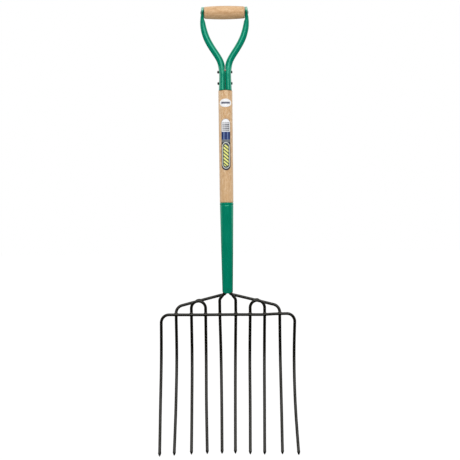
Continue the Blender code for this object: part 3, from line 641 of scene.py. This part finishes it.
def strip_label_material():
    mat = MaterialNodes("strip_label_print")
    x, y = label_uv(mat)
    paper = mat.ramp(mat.noise(mat.where, scale=700.0, detail=3.0), [
        (0.3, srgb(238, 239, 243)), (0.7, srgb(252, 252, 253)),
    ])
    # upper field: white with five grey bars, a little uneven in tone along their length
    along = mat.new("CombineXYZ", {0: x, 1: mat.times(y, 0.1), 2: 0.0}).outputs[0]
    uneven = mat.noise(along, scale=0.3, detail=1.0, roughness=0.5)
    uneven = mat.grey(uneven, (0.34, 0.8), (0.6, 1.0))
    bars = None
    for low, high, weight in STRIP_BARS:
        bar = mat.times(mat.band(y, low, high, soft=0.5), weight)
        bars = bar if bars is None else mat.plus(bars, bar)
    bars = mat.times(bars, mat.band(x, low=-9.6, high=9.8, soft=0.7))
    bars = mat.times(bars, mat.fade(x, start=-6.0, end=4.0, low=0.7))
    colour = mat.tint(paper, srgb(34, 40, 58), mask=bars, strength=uneven)
    # middle field: dark blue with two soft lighter streaks of painted reflection, over a grey band
    left_painted_glare = mat.band(x, low=-6.2, high=-4.0, soft=0.7)
    right_painted_glare = mat.times(mat.band(x, low=4.2, high=6.2, soft=0.7), 0.85)
    blue = mat.mix(mat.plus(left_painted_glare, right_painted_glare), srgb(26, 48, 106), srgb(126, 150, 194))
    colour = mat.mix(mat.band(y, low=12.3, high=33.4, soft=0.4), colour, blue)
    grey_band = mat.band(y, low=5.8, high=12.3, soft=0.4)
    colour = mat.mix(grey_band, colour, srgb(112, 118, 122))
    # lower field: dark, with a pale outline and slanted stripes
    lower = mat.fade(y, start=6.1, end=5.5)
    colour = mat.mix(lower, colour, srgb(18, 26, 60))
    field_y = mat.plus(y, 29.0)
    outline = mat.calc(
        "SUBTRACT",
        pill(mat, x, field_y, half_length=34.8, radius=10.4, soft=0.3),
        pill(mat, x, field_y, half_length=32.9, radius=8.5, soft=0.3),
    )
    inside = pill(mat, x, field_y, half_length=33.0, radius=8.6, soft=0.3)
    colour = mat.tint(colour, srgb(56, 66, 80), mask=inside, strength=lower)
    colour = mat.tint(colour, srgb(220, 226, 214), mask=outline, strength=lower)
    # 90 keeps the slant positive; it runs up and down 0..4.6, so a stripe comes each 9.2 mm
    slant = mat.plus(mat.plus(field_y, 90.0), mat.times(x, 0.85))
    stripe = mat.fade(mat.calc("PINGPONG", slant, 4.6), start=1.5, end=2.2)
    stripe = mat.times(stripe, pill(mat, x, field_y, half_length=29.0, radius=6.6, soft=0.35))
    colour = mat.tint(colour, srgb(236, 238, 130), mask=stripe, strength=lower)
    # a thin darker rim round the whole label: painted shadow along its edge
    whole = pill(mat, x, y, half_length=67.0, radius=11.6, soft=0.3)
    edge = mat.mix(lower, srgb(128, 132, 132), srgb(18, 24, 56))
    colour = mat.mix(mat.calc("SUBTRACT", 1.0, whole), colour, edge)
    fine = mat.noise(mat.where, scale=1200.0, detail=2.0)
    normal = mat.bump(fine, strength=0.08, distance=0.00005)
    return mat.done(Base_Color=colour, Normal=normal, **LABEL_GLOSS)


BLACK = Look(black_lacquer(), "black_lacquer")
WELD = Look(weld_metal(), "weld_metal")
GREEN = Look(green_enamel(), "green_paint")
STEEL = Look(dark_steel(), "dark_steel")
ASH = Look(wood("shaft_wood", along=GRAIN_Z, tones=(
    srgb(208, 167, 118), srgb(220, 183, 136), srgb(229, 197, 156),
    srgb(182, 132, 86), srgb(245, 220, 188), srgb(160, 112, 72),
), ring_scale=62.0, seed=3.1, fleck_rise=(0.62, 0.80)), "shaft_wood")
BEECH = Look(wood("grip_wood", along=GRAIN_X, tones=(
    srgb(202, 160, 114), srgb(214, 175, 130), srgb(222, 187, 144),
    srgb(172, 124, 78), srgb(236, 208, 170), srgb(154, 108, 66),
), ring_scale=70.0, seed=8.4), "grip_wood")


# ---------------------------------------------------------------- the head's rods
# a rod's line is a list of (point, share of the rod's radius)
def dish(z):
    return through(DISH, z)


def bar_top(x):
    return BAR_Z + through(BAR_RISE, x)


def tine_x(index, z):
    knots = tuple(zip(reversed(TINE_HEIGHTS), reversed(TINES[index][0])))
    return through(knots, min(z, BAR_Z))


def tine(index, top_z, forward=0.0):
    """From top_z down to the sharpened tip."""
    low = TINES[index][1] + GROUND + TIP_GAP
    steps = int((top_z - low) / 5.0)
    out = []
    for i in range(steps + 1):
        z = top_z + (low + 12.6 - top_z) * i / steps
        y = dish(z) - forward * (0.25 + 0.75 * max(z, 0) / BAR_Z)
        out.append((Vector((tine_x(index, z), y, z)), 1.0))
    heading = (out[-1][0] - out[-2][0]).normalized()
    tip = out[-1][0] + heading * ((low - out[-1][0].z) / heading.z)
    point_start = tip - heading * POINT[0][0]
    while out and (out[-1][0] - point_start).length < 3.0:
        out.pop()
    return out + [(tip - heading * back, share) for back, share in POINT]


def bow_line():
    """Both outermost tines and the crossbar between them, in one rod."""
    def corner(start, sign):
        rise = bar_top(start.x) - start.z
        out = []
        for step in range(1, 17):
            angle = math.radians(90 * step / 16)
            x = start.x - sign * CORNER_R * (1 - math.cos(angle))
            y = start.y + (BAR_Y - start.y) * smooth(step / 16)
            out.append((Vector((x, y, start.z + rise * math.sin(angle))), 1.0))
        return out

    left, right = (tine(index, BAR_Z - CORNER_R, BOW_FORWARD) for index in (0, 9))
    bar = [(Vector((x, BAR_Y, bar_top(x))), 1.0) for x in range(-150, 151, 5)]
    line = left[::-1] + corner(left[0][0], -1) + bar
    return line + corner(right[0][0], 1)[::-1] + right


def hairpin_line(left_index, right_index):
    """Two tines joined by a round arch above the crossbar."""
    left, right = (tine(index, ARCH_SPRING_Z) for index in (left_index, right_index))
    start_x, end_x = left[0][0].x, right[0][0].x
    middle, radius = (start_x + end_x) / 2, (end_x - start_x) / 2
    arch = []
    for step in range(1, 30):
        angle = math.radians(180 - 6 * step)
        x, z = middle + radius * math.cos(angle), ARCH_SPRING_Z + radius * math.sin(angle)
        arch.append((Vector((x, dish(z), z)), 1.0))
    return left[::-1] + arch + right


def diagonal_line(index, sign):
    """From inside the socket, out along a slope and down into a tine."""
    x_end = abs(TINES[index][0][0])
    corners = [
        (BUNDLE, 0, ROD_TOP_Z), (BUNDLE, 0, DIAGONAL_Z - DIAGONAL_SLOPE * BUNDLE),
        (x_end, 0, DIAGONAL_Z - DIAGONAL_SLOPE * x_end), (x_end, 0, BAR_Z),
    ]
    flat = rounded(corners, radii=[9.0, SHOULDER_R], steps=18)
    line = []
    for p, q in zip(flat, flat[1:]):
        line.append(p)
        if q.x - p.x > 40:  # the long slope
            line += [p.lerp(q, k / 24) for k in range(1, 24)]
    out = []
    for p in line:
        y = through(DIAGONAL_Y, p.x)
        if p.x > x_end - 2.0:  # brings the rod to the tine's own y at the crossbar
            y = 8.0 + (y - 8.0) * max(0.0, (p.z - BAR_Z) / 14.0)
        out.append((Vector((sign * p.x, y, p.z)), 1.0))
    return out + tine(index, BAR_Z)


def centre_line(index, sign):
    """From inside the socket straight down into one of the two middle tines."""
    x = TINES[index][0][0]
    corners = [
        (sign * BUNDLE, -BUNDLE, ROD_TOP_Z), (sign * BUNDLE, -BUNDLE, 436.6),
        (x, -2.6, 415.0), (x, dish(BAR_Z), BAR_Z),
    ]
    top = rounded(corners, radii=[7.0, 12.0], steps=14)
    return [(p, 1.0) for p in top[:-1]] + tine(index, BAR_Z)


def rod_rings(line, seed):
    """Rings along a line, carried without twist: four flats at the points, faintly uneven."""
    points = [p for p, _ in line]
    tangents = []
    for i in range(len(points)):
        before, after = points[max(0, i - 1)], points[min(len(points) - 1, i + 1)]
        tangents.append((after - before).normalized())
    side = tangents[0].cross(Vector((0, 1, 0)))
    if side.length < 0.1:
        side = tangents[0].cross(Vector((1, 0, 0)))
    side.normalize()
    rings = []
    for i, ((p, share), tangent) in enumerate(zip(line, tangents)):
        side = (side - tangent * side.dot(tangent)).normalized()
        up = tangent.cross(side)
        square = 0.0 if share == 1.0 else min(1.0, 1.4 * (1.06 - share))
        ring = []
        for k in range(ROD_SIDES):
            w = 2 * math.pi * k / ROD_SIDES
            cos, sin = math.cos(w), math.sin(w)
            r = (ROD_R - ROD_SKIN) * share
            if square > 0:
                flat = max(abs(cos + sin), abs(cos - sin)) / math.sqrt(2)
                r *= 1 + square * (1 / max(flat, 0.72) - 1.12)
            around = math.sin(2 * w + seed + i * 0.11) * 0.6
            r *= 1 + ROD_WOBBLE * (around + math.sin(i * 0.37 + seed * 1.7) * 0.4)
            ring.append(place(p + side * (cos * r) + up * (sin * r)))
        rings.append(ring)
    return rings


ROD_LINES = {
    "outer_bow_rod": bow_line(),
    "left_diagonal_rod": diagonal_line(1, -1),
    "right_diagonal_rod": diagonal_line(8, 1),
    "left_hairpin_rod": hairpin_line(2, 3),
    "right_hairpin_rod": hairpin_line(6, 7),
    "left_centre_rod": centre_line(4, -1),
    "right_centre_rod": centre_line(5, 1),
}
for number, (piece, line) in enumerate(ROD_LINES.items()):
    rings = rod_rings(resample(line, ROD_STEP), seed=number * 1.9)
    build(piece, capped(rings), BLACK, sharp=40)


# ---------------------------------------------------------------- welds
def scatter(index):
    """A fixed random share from 0 to 1."""
    x = math.sin(index * 12.9898 + 78.233) * 43758.5453
    return x - math.floor(x)


def weld(piece, centre, size, along, up, seed):
    """A run of weld metal: ripples along a short line, thick in the middle.

    size: length, width, height.
    """
    length, width, height = size
    along, up = Vector(along).normalized(), Vector(up)
    up = (up - along * up.dot(along)).normalized()
    side = along.cross(up)
    steps, sides = 26, 20
    rings = []
    for i in range(1, steps):
        t = -1 + 2 * i / steps
        fat = math.sqrt(max(0.0, 1 - t * t)) ** 0.8
        fat *= 1 + 0.07 * math.cos(t * 15 + seed) + 0.05 * math.cos(t * 6.3 + 2 * seed)
        p = Vector(centre) + along * (t * length / 2) + side * (0.25 * math.sin(3 * t + seed))
        ring = []
        for k in range(sides):
            w = 2 * math.pi * k / sides
            r = fat * (1 + 0.05 * math.sin(3 * w + seed + 4 * t))
            across = side * (math.cos(w) * width / 2 * r)
            ring.append(place(p + across + up * (math.sin(w) * height / 2 * r)))
        rings.append(ring)
    build(piece, capped(rings), WELD, sharp=60)


for index in range(1, 9):
    x = TINES[index][0][0]
    weld(
        f"bar_weld_{index + 1}", centre=(x, BAR_Y + 3.6, bar_top(x) + 3.4),
        size=(10.0 + scatter(index), 5.8, 5.4), along=(1, 0, 0), up=(0, 0.4, 1), seed=index * 1.3,
    )
SIDES = (("left", -1), ("right", 1))
for side, sign in SIDES:
    weld(
        f"{side}_arch_weld", centre=(sign * 78.2, 7.0, 413.4), size=(14.0, 6.4, 5.8),
        along=(sign, 0, -0.2), up=(0, 0.2, 1), seed=2.0 + sign,
    )
    weld(
        f"{side}_root_weld", centre=(sign * 15.0, 1.3, 421.8), size=(8.6, 7.0, 6.6),
        along=(sign * 0.6, 0, -0.8), up=(0, 1, 0), seed=5.0 + sign,
    )


# ---------------------------------------------------------------- socket and shaft
def socket_r(z):
    share = (z - SOCKET_END_Z) / (SOCKET_TOP_Z - SOCKET_END_Z)
    return SOCKET_END_R + (SOCKET_TOP_R - SOCKET_END_R) * share


def shaft_r(z):
    return SHAFT_R + (SHAFT_TOP_R - SHAFT_R) * max(0.0, min(1.0, (z - 690.0) / 240.0))


def pinch(p, w):
    """Shapes the socket: its foot flattened and dented, a seam down the back."""
    z = p.z
    # flattened front to back, with a dent down the middle between the rods
    y = p.y * (1 - 0.2 * smooth((446.5 - z) / 15.0))
    dent = 1.6 * smooth((446.0 - z) / 13.0) * bell(p.x, 0.0, 2.6)
    y -= math.copysign(min(dent, abs(y) * 0.5), y)
    # hammer marks where the sheet was closed on the rods
    hammer = smooth((445.5 - z) / 8.0) * 0.16
    x = p.x + hammer * 0.4 * math.sin(2.1 * z + 3 * w)
    y += hammer * math.sin(1.3 * z + 5 * w + 1.0) * 0.7
    # the two edges of the sheet turn in a little at the back
    from_back = math.degrees(abs(w - math.pi / 2))
    if from_back < 6 and z > 445:
        y -= 0.55 * (1 - from_back / 6) ** 2
    return Vector((x, y, z))


def socket():
    """Rolled sheet, open at the top and nearly closed at the foot."""
    outer = [
        (SOCKET_TOP_R - inset, SOCKET_TOP_Z - drop)
        for inset, drop in ((1.1, 0.0), (0.55, 0.12), (0.15, 0.5), (0.0, 1.1))
    ]
    # a groove round the top
    outer += [(socket_r(z) - 0.55 * bell(z, 663.5, 1.1), z) for z in spaced(669.0, 658.0, 0.5)]
    outer += [(socket_r(z), z) for z in spaced(657.0, 447.0, 3.0)]
    outer += [(socket_r(z), z) for z in spaced(446.0, SOCKET_END_Z, 0.75)]
    outer += [
        (SOCKET_END_R - 0.05 - 3.9 * (1 - math.cos(a)), 437.4 - 7.2 * math.sin(a))
        for a in quarter(10)
    ]
    outer.append((9.0, 430.4))
    inner = [(8.3, 431.6), (8.6, 433.5), (9.6, 436.0), (11.0, 439.5)]
    inner += [(socket_r(z) - SOCKET_WALL, z) for z in spaced(443.0, 655.0, 6.0)]
    inner_top_r = SOCKET_TOP_R - SOCKET_WALL
    inner += [(inner_top_r, SOCKET_TOP_Z - 0.3), (inner_top_r + 0.3, SOCKET_TOP_Z)]
    build("socket", looped(turned(outer + inner, sides=96, shape=pinch)), GREEN, sharp=50)


def socket_nail():
    """A domed nail driven into the socket's back."""
    profile = [(max(0.02, 3.9 * math.sin(a)), 0.35 + 1.55 * math.cos(a)) for a in quarter(8, 0)]
    profile += [(3.7, 0.1), (1.6, 0.1), (1.6, -15.0), (0.9, -16.6), (0.02, -17.5)]
    backward = Matrix.Rotation(math.radians(-90), 4, "X")
    seat = Matrix.Translation((0, socket_r(NAIL_Z), NAIL_Z)) @ backward
    build("socket_nail", capped(turned(profile, sides=28, matrix=seat)), GREEN, sharp=50)


def shaft():
    """From the tenon's top at the handle down to the foot hidden in the socket."""
    shoulder = SHAFT_SHOULDER_Z
    profile = [
        (0.02, TENON_TOP_Z), (11.4, TENON_TOP_Z), (12.2, TENON_TOP_Z - 0.4),
        (12.8, TENON_TOP_Z - 1.4), (12.9, 1015.0), (12.9, 1010.0), (12.9, 1005.0),
        (14.1, shoulder + 0.1), (SHAFT_TOP_R - 1.0, shoulder + 0.05),
    ]
    profile += [
        (SHAFT_TOP_R - 1.0 + math.sin(a), shoulder - 1.0 + math.cos(a)) for a in quarter(5)
    ]
    profile += [(shaft_r(z), z) for z in spaced(964.0, 674.0, 4.0)]
    profile += [(17.9, 672.6), (17.4, 671.3), (16.6, 670.9)]
    profile += [
        (socket_r(z) - SOCKET_WALL - SOCKET_FIT, z)
        for z in [668.0] + spaced(660.0, TENON_FOOT_Z, 8.0)
    ]
    profile.append((0.02, TENON_FOOT_Z))
    build("shaft", capped(turned(profile, sides=96)), ASH, sharp=45)


socket()
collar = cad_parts["rod_collar"]
collar.data.materials.clear()
collar.data.materials.append(STEEL.material)
socket_nail()
shaft()


# ---------------------------------------------------------------- the handle's arms
# sections of the right arm; the left one is mirrored
OUTER_STEPS, INNER_STEPS = 48, 16


def arm_centre(z):
    return through(ARM_CENTRE, max(z, ARM_FOOT_Z))


def tube_section(z):
    """The leaning tube, with its rolled seam facing the other arm."""
    thick, deep, power = (
        through(knots, max(z, ARM_FOOT_Z)) for knots in (ARM_THICK, ARM_DEEP, ARM_POWER)
    )
    slope = (arm_centre(z + 3) - arm_centre(z - 3)) / 6
    lean = math.atan(slope * (1 - smooth((z - 1146.0) / 12.0)))
    groove = smooth((z - 1036.0) / 10.0) * (1 - smooth((z - 1138.0) / 12.0))
    angles = [-150 + 300 * i / OUTER_STEPS for i in range(OUTER_STEPS + 1)]
    angles += [150 + 60 * i / INNER_STEPS for i in range(1, INNER_STEPS)]
    out = []
    for degrees in angles:
        cos, sin = math.cos(math.radians(degrees)), math.sin(math.radians(degrees))
        outward = thick * math.copysign(abs(cos) ** (2 / power), cos)
        y = deep * math.copysign(abs(sin) ** (2 / power), sin)
        from_seam = abs(degrees - 180)
        if from_seam < 9:
            outward += groove * 1.3 * (1 - from_seam / 9)
        x = arm_centre(z) + outward * math.cos(lean)
        out.append(Vector((x, y, z - outward * math.sin(lean))))
    return out


def shell_section(z):
    """The half shell round the tenon, flat on the inner side."""
    x_scale = through(SHELL_SIDE, z) / SHELL[-1][0]
    y_scale = 1 + (x_scale - 1) * 0.6
    front = [(x * x_scale if i > 1 else x, y * y_scale) for i, (x, y) in enumerate(SHELL)]
    knots = front + [(x, -y) for x, y in reversed(front[:-1])]
    x_knots, y_knots = ([(i, p[axis]) for i, p in enumerate(knots)] for axis in (0, 1))
    last = len(knots) - 1
    shares = [last * i / OUTER_STEPS for i in range(OUTER_STEPS + 1)]
    points = [(through(x_knots, share), through(y_knots, share)) for share in shares]
    back_y = points[-1][1]
    points += [(LIP_X, back_y * (1 - 2 * k / INNER_STEPS)) for k in range(1, INNER_STEPS)]
    return [Vector((max(x, LIP_X), y, z)) for x, y in points]


def arm_section(z):
    blend = smooth((z - 1012.0) / 21.0)
    ring = [p.lerp(q, blend) for p, q in zip(shell_section(min(z, 1029.9)), tube_section(z))]
    # the two arms part a little at the end of the tenon
    part = LIP_X - 0.27 * smooth((z - 1018.0) / 8.0) + 0.35 * bell(z, TENON_TOP_Z, 2.2)
    for p in ring:
        p.x = max(p.x, part)
    return ring


def outermost_x(z, reach):
    """How far out the arm stands within reach of height z."""
    return max(p.x for offset in (-reach, 0.0, reach) for p in arm_section(z + offset))


def hole(name, z, radius, half_length, sides):
    profile = [(radius, half_length), (radius, -half_length)]
    return solid(name, capped(turned(profile, sides, along_x(z))))


def cut(obj, cutters):
    """Takes the cutters out of the object for good."""
    for cutter in cutters:
        modifier = obj.modifiers.new("cut", "BOOLEAN")
        modifier.operation, modifier.solver, modifier.object = "DIFFERENCE", "EXACT", cutter
    graph = bpy.context.evaluated_depsgraph_get()
    graph.update()
    mesh = bpy.data.meshes.new_from_object(obj.evaluated_get(graph))
    obj.modifiers.clear()
    obj.data = mesh


def handle_arms():
    tenon_space = solid("tenon_space", capped(turned([
        (0.02, TENON_TOP_Z + 0.5), (13.2, TENON_TOP_Z + 0.5), (13.2, 1005.0),
        (14.4, SHAFT_SHOULDER_Z), (14.5, 955.0), (0.02, 955.0),
    ], sides=64)))
    holes = [
        hole(f"hole_{i}", z, radius=2.7, half_length=40, sides=24)
        for i, z in enumerate(HANDLE_RIVET_Z)
    ]
    eye_hole = hole("eye_hole", GRIP_Z, radius=3.2, half_length=90, sides=32)
    cutters = [tenon_space, eye_hole] + holes

    heights = [HANDLE_FOOT_Z, HANDLE_FOOT_Z + 0.5] + spaced(969.5, 1155.0, 2.5)
    heights += spaced(1156.5, 1186.0, 1.5) + [1187.0, 1187.7, 1188.2]
    for side, sign in SIDES:
        rings = [
            [place(Vector((sign * p.x, p.y, p.z))) for p in arm_section(z)] for z in heights
        ]
        # the foot's edge is eased inward
        middle = sum((p for p in rings[0]), Vector()) / len(rings[0])
        rings[0] = [p.lerp(middle, 0.018) for p in rings[0]]
        piece = f"{side}_handle_arm"
        arm = solid("fine_" + piece, capped(rings))
        cut(arm, cutters)
        dress(arm, piece, GREEN, sharp=48)
    for cutter in cutters:
        bpy.data.objects.remove(cutter, do_unlink=True)


handle_arms()


# ---------------------------------------------------------------- rivets
def rivet_head(seat, foot, radius, base, rise, power=1.0):
    """(radius, x) points of a domed head; foot and base are measured from the seat."""
    return [(r, seat + x) for r, x in foot] + [
        (max(0.02, radius * math.cos(a) ** power), seat + base + rise * math.sin(a))
        for a in quarter(11)
    ]


def rivet(piece, z, right_head, left_head, sides, look):
    profile = right_head[::-1] + [(r, -x) for r, x in left_head]
    build(piece, capped(turned(profile, sides, along_x(z))), look, sharp=50)


for piece, z in zip(("lower_handle_rivet", "upper_handle_rivet"), HANDLE_RIVET_Z):
    right_head, left_head = (
        rivet_head(
            seat=outermost_x(z, 4.2) + 0.15, foot=((2.4, 0), (3.7, 0), (3.98, 0.25)),
            radius=4.0, base=0.45, rise=tall - 0.6, power=0.85,
        )
        for tall in (2.6, 4.2)
    )
    rivet(piece, z, right_head, left_head, sides=32, look=STEEL)

eye_head = rivet_head(
    seat=outermost_x(GRIP_Z, 4.6) + 0.05, foot=((GRIP_RIVET_R, 0), (4.4, 0), (4.6, 0.15)),
    radius=4.6, base=0.2, rise=0.85,
)
rivet("grip_rivet", GRIP_Z, eye_head, eye_head, sides=36, look=GREEN)


# ---------------------------------------------------------------- the grip
def grip():
    """A bored wooden barrel between the eyes, fullest in the middle."""
    bore_r = GRIP_RIVET_R + 0.4
    face_r, edge = GRIP_R_END - 2.6, 2.4
    end = [(bore_r, GRIP_HALF), (face_r, GRIP_HALF)]
    end += [
        (face_r + edge * math.sin(a), GRIP_HALF - edge + edge * math.cos(a)) for a in quarter(7)
    ]
    barrel = []
    for x in spaced(GRIP_HALF - 3.2, -GRIP_HALF + 3.2, 1.6):
        swell = (GRIP_R_MID - GRIP_R_END) * math.cos(math.pi / 2 * x / GRIP_HALF)
        barrel.append((GRIP_R_END + swell + 0.03 * math.sin(x * 2.3) - 0.02, x))
    profile = end + barrel + [(r, -x) for r, x in reversed(end)]
    rings = turned(profile, sides=96, matrix=along_x(GRIP_Z))
    build("grip", looped(rings), BEECH, sharp=45, body="grip")


grip()


# ---------------------------------------------------------------- labels
def label(piece, centre_z, half_width, half_height, corner, look, rows, columns=28):
    """A thin sheet bent round the front of the shaft; its UVs are millimetres on the label."""
    surface = bmesh.new()
    uv = surface.loops.layers.uv.new("print")
    flat_place = {}
    levels = [-half_height * 0.998 * math.cos(math.pi * i / rows) for i in range(rows + 1)]

    def width_at(z):
        over = max(0.0, abs(z) - (half_height - corner))
        return half_width * math.sqrt(max(0.0, 1 - (over / corner) ** 2))

    def sheet(lift):
        grid = []
        for z in levels:
            row = []
            bend_r = shaft_r(centre_z + z)
            for j in range(columns + 1):
                x = width_at(z) * (2 * j / columns - 1)
                angle, radius = x / (bend_r + 0.25), bend_r + lift
                p = (radius * math.sin(angle), -radius * math.cos(angle), centre_z + z)
                vert = surface.verts.new(place(Vector(p)))
                flat_place[vert] = (x, z)
                row.append(vert)
            grid.append(row)
        return grid

    def rim(grid):
        right, left = [row[-1] for row in grid[1:]], [row[0] for row in grid[-2:0:-1]]
        return grid[0] + right + grid[-1][-2::-1] + left

    front, rear = sheet(lift=0.3), sheet(lift=0.06)
    for grid in (front, rear):
        for low, high in zip(grid, grid[1:]):
            for j in range(columns):
                surface.faces.new((low[j], low[j + 1], high[j + 1], high[j]))
    skin(surface, rim(front), rim(rear))
    for face in surface.faces:
        for loop in face.loops:
            loop[uv].uv = flat_place[loop.vert]
    build(piece, surface, look, sharp=50)


label(
    "oval_label", *OVAL_LABEL, corner=OVAL_LABEL[2],
    look=Look(oval_label_material(), "white_label"), rows=36,
)
label(
    "strip_label", *STRIP_LABEL, corner=STRIP_LABEL[1],
    look=Look(strip_label_material(), "printed_label"), rows=90,
)

# ---------------------------------------------------------------- stage, in metres
# soft light that fills the shadows: from the sides, from above
FILL_SIDE, FILL_TOP = 1.02, 0.78
# the reflected softbox: sideways shift, half width, lower edge, its rise in the middle, level
BOX_SHIFT, BOX_OUT, BOX_LOW, BOX_ARCH, BOX_LEVEL = 0.06, 0.58, 0.03, 0.03, 2.05
ABOVE_LEVEL = 0.28
PAPER_EDGE, PAPER_LEVEL, CLOTH_LEVEL = -0.3, 0.9, 0.01
# the floor's light: on matt surfaces, then in reflections, behind (added) and in front
FLOOR_SOFT, FLOOR_NEAR, FLOOR_FAR = 0.66, 0.05, 0.01
KEY_POWER = 30.0
KEY_PLACE, KEY_TARGET, KEY_SIZE = (0.0, -1.9, 2.9), (0.0, 0.0, 0.6), (0.9, 1.5)
FLOOR_HALF = 30.0
# camera: distance from the shaft's axis, width seen there, shift right, height, roll in degrees
DISTANCE, VIEW_WIDTH, CAMERA_X, CAMERA_Z, ROLL = 3.6, 1.219, 0.0081, 0.5861, 0.67
SENSOR_MM = 36.0


def floor_material():
    """Nearly white to the camera, dimmer as a light on the tool."""
    mat = MaterialNodes("pale_floor")
    mat.tree.nodes.remove(mat.bsdf)
    path = mat.new("LightPath").outputs
    grain = mat.ramp(mat.noise(mat.where, scale=3.0, detail=3.0), [
        (0.3, (0.80, 0.80, 0.80)), (0.7, (0.83, 0.83, 0.83)),
    ])
    matt = mat.new("BsdfDiffuse", {"Color": grain})
    glow = mat.new("Emission", {"Color": (1, 1, 1, 1), "Strength": 1.08})
    seen = mat.new("MixShader", {0: 0.12, 1: glow, 2: matt})
    # in reflections it is dark in front of the tool
    position = mat.new("NewGeometry").outputs["Position"]
    depth = mat.new("SeparateXYZ", {0: position}).outputs[1]
    mirrored = mat.weighted((mat.ease(depth, start=-1.6, end=0.4), FLOOR_NEAR), base=FLOOR_FAR)
    strength = mat.choose(path["Is Glossy Ray"], FLOOR_SOFT, mirrored)
    bounce = mat.new("Emission", {"Color": (1, 1, 1, 1), "Strength": strength})
    surface = mat.new("MixShader", {0: path["Is Camera Ray"], 1: bounce, 2: seen})
    mat.set(mat.tree.nodes["Material Output"].inputs["Surface"], surface)
    return mat.material


def studio_world():
    """White to the camera, soft light on matt surfaces, a photo studio in reflections."""
    world = bpy.data.worlds.new("studio")
    bpy.context.scene.world = world
    world.use_nodes = True
    sky = Nodes(world.node_tree)
    sky.tree.nodes.clear()
    direction = sky.new("TexCoord").outputs["Generated"]
    x, y, z = sky.new("SeparateXYZ", {0: direction}).outputs
    soft = sky.ease(z, start=0.0, end=0.9, low=FILL_SIDE, high=FILL_TOP)
    # a wide softbox over the camera, its lower edge just over eye level and arched
    aside = sky.calc("ABSOLUTE", sky.calc("SUBTRACT", x, BOX_SHIFT), 0.0)
    arch = sky.calc("SUBTRACT", z, sky.ease(aside, start=0.42, end=0.1, high=BOX_ARCH))
    box = sky.times(
        sky.ease(aside, start=BOX_OUT, end=BOX_OUT - 0.2),
        sky.ease(arch, start=BOX_LOW, end=BOX_LOW + 0.12),
    )
    box = sky.times(box, sky.ease(y, start=0.05, end=-0.2))
    box = sky.times(box, sky.ease(z, start=0.98, end=0.75))
    box = sky.times(box, BOX_LEVEL)
    # a glow overhead, white paper behind and at the sides, black cloth elsewhere
    above = sky.ease(z, start=0.2, end=0.75, high=ABOVE_LEVEL)
    paper = sky.ease(y, start=PAPER_EDGE, end=PAPER_EDGE + 0.5, high=PAPER_LEVEL)
    mirrored = sky.calc("MAXIMUM", sky.calc("MAXIMUM", box, above), paper)
    mirrored = sky.plus(mirrored, CLOTH_LEVEL)
    path = sky.new("LightPath").outputs
    level = sky.choose(path["Is Glossy Ray"], soft, mirrored)
    lit = sky.new("Background", {"Color": (1, 1, 1, 1), "Strength": level})
    seen = sky.new("Background", {"Color": (1, 1, 1, 1), "Strength": 1.0})
    surface = sky.new("MixShader", {0: path["Is Camera Ray"], 1: lit, 2: seen})
    sky.new("OutputWorld", {"Surface": surface})


def add_floor():
    surface = bmesh.new()
    bmesh.ops.create_grid(surface, x_segments=1, y_segments=1, size=FLOOR_HALF)
    floor = new_object("floor", surface)
    floor.data.materials.append(floor_material())


def add_key_light():
    light = bpy.data.lights.new("overhead_softbox", "AREA")
    light.shape = "RECTANGLE"
    light.size, light.size_y = KEY_SIZE
    light.energy = KEY_POWER
    key = bpy.data.objects.new("overhead_softbox", light)
    key.location = KEY_PLACE
    aim = Vector(KEY_TARGET) - Vector(KEY_PLACE)
    key.rotation_euler = aim.to_track_quat("-Z", "Y").to_euler()
    bpy.context.scene.collection.objects.link(key)
    key.visible_glossy = False


def add_camera():
    """Square on to the front, turned slightly about its own axis."""
    data = bpy.data.cameras.new("camera")
    data.sensor_fit = "HORIZONTAL"
    data.sensor_width = SENSOR_MM
    data.lens = SENSOR_MM * DISTANCE / VIEW_WIDTH
    data.clip_end = 100.0
    camera = bpy.data.objects.new("camera", data)
    camera.matrix_world = (
        Matrix.Translation(AXIS + Vector((CAMERA_X, -DISTANCE, CAMERA_Z)))
        @ Matrix.Rotation(math.radians(90), 4, "X")
        @ Matrix.Rotation(math.radians(-ROLL), 4, "Z")
    )
    bpy.context.scene.collection.objects.link(camera)
    bpy.context.scene.camera = camera


add_floor()
studio_world()
add_key_light()
add_camera()
bpy.context.scene.view_settings.view_transform = "Standard"
bpy.context.scene.view_settings.look = "None"

bpy.context.view_layer.update()
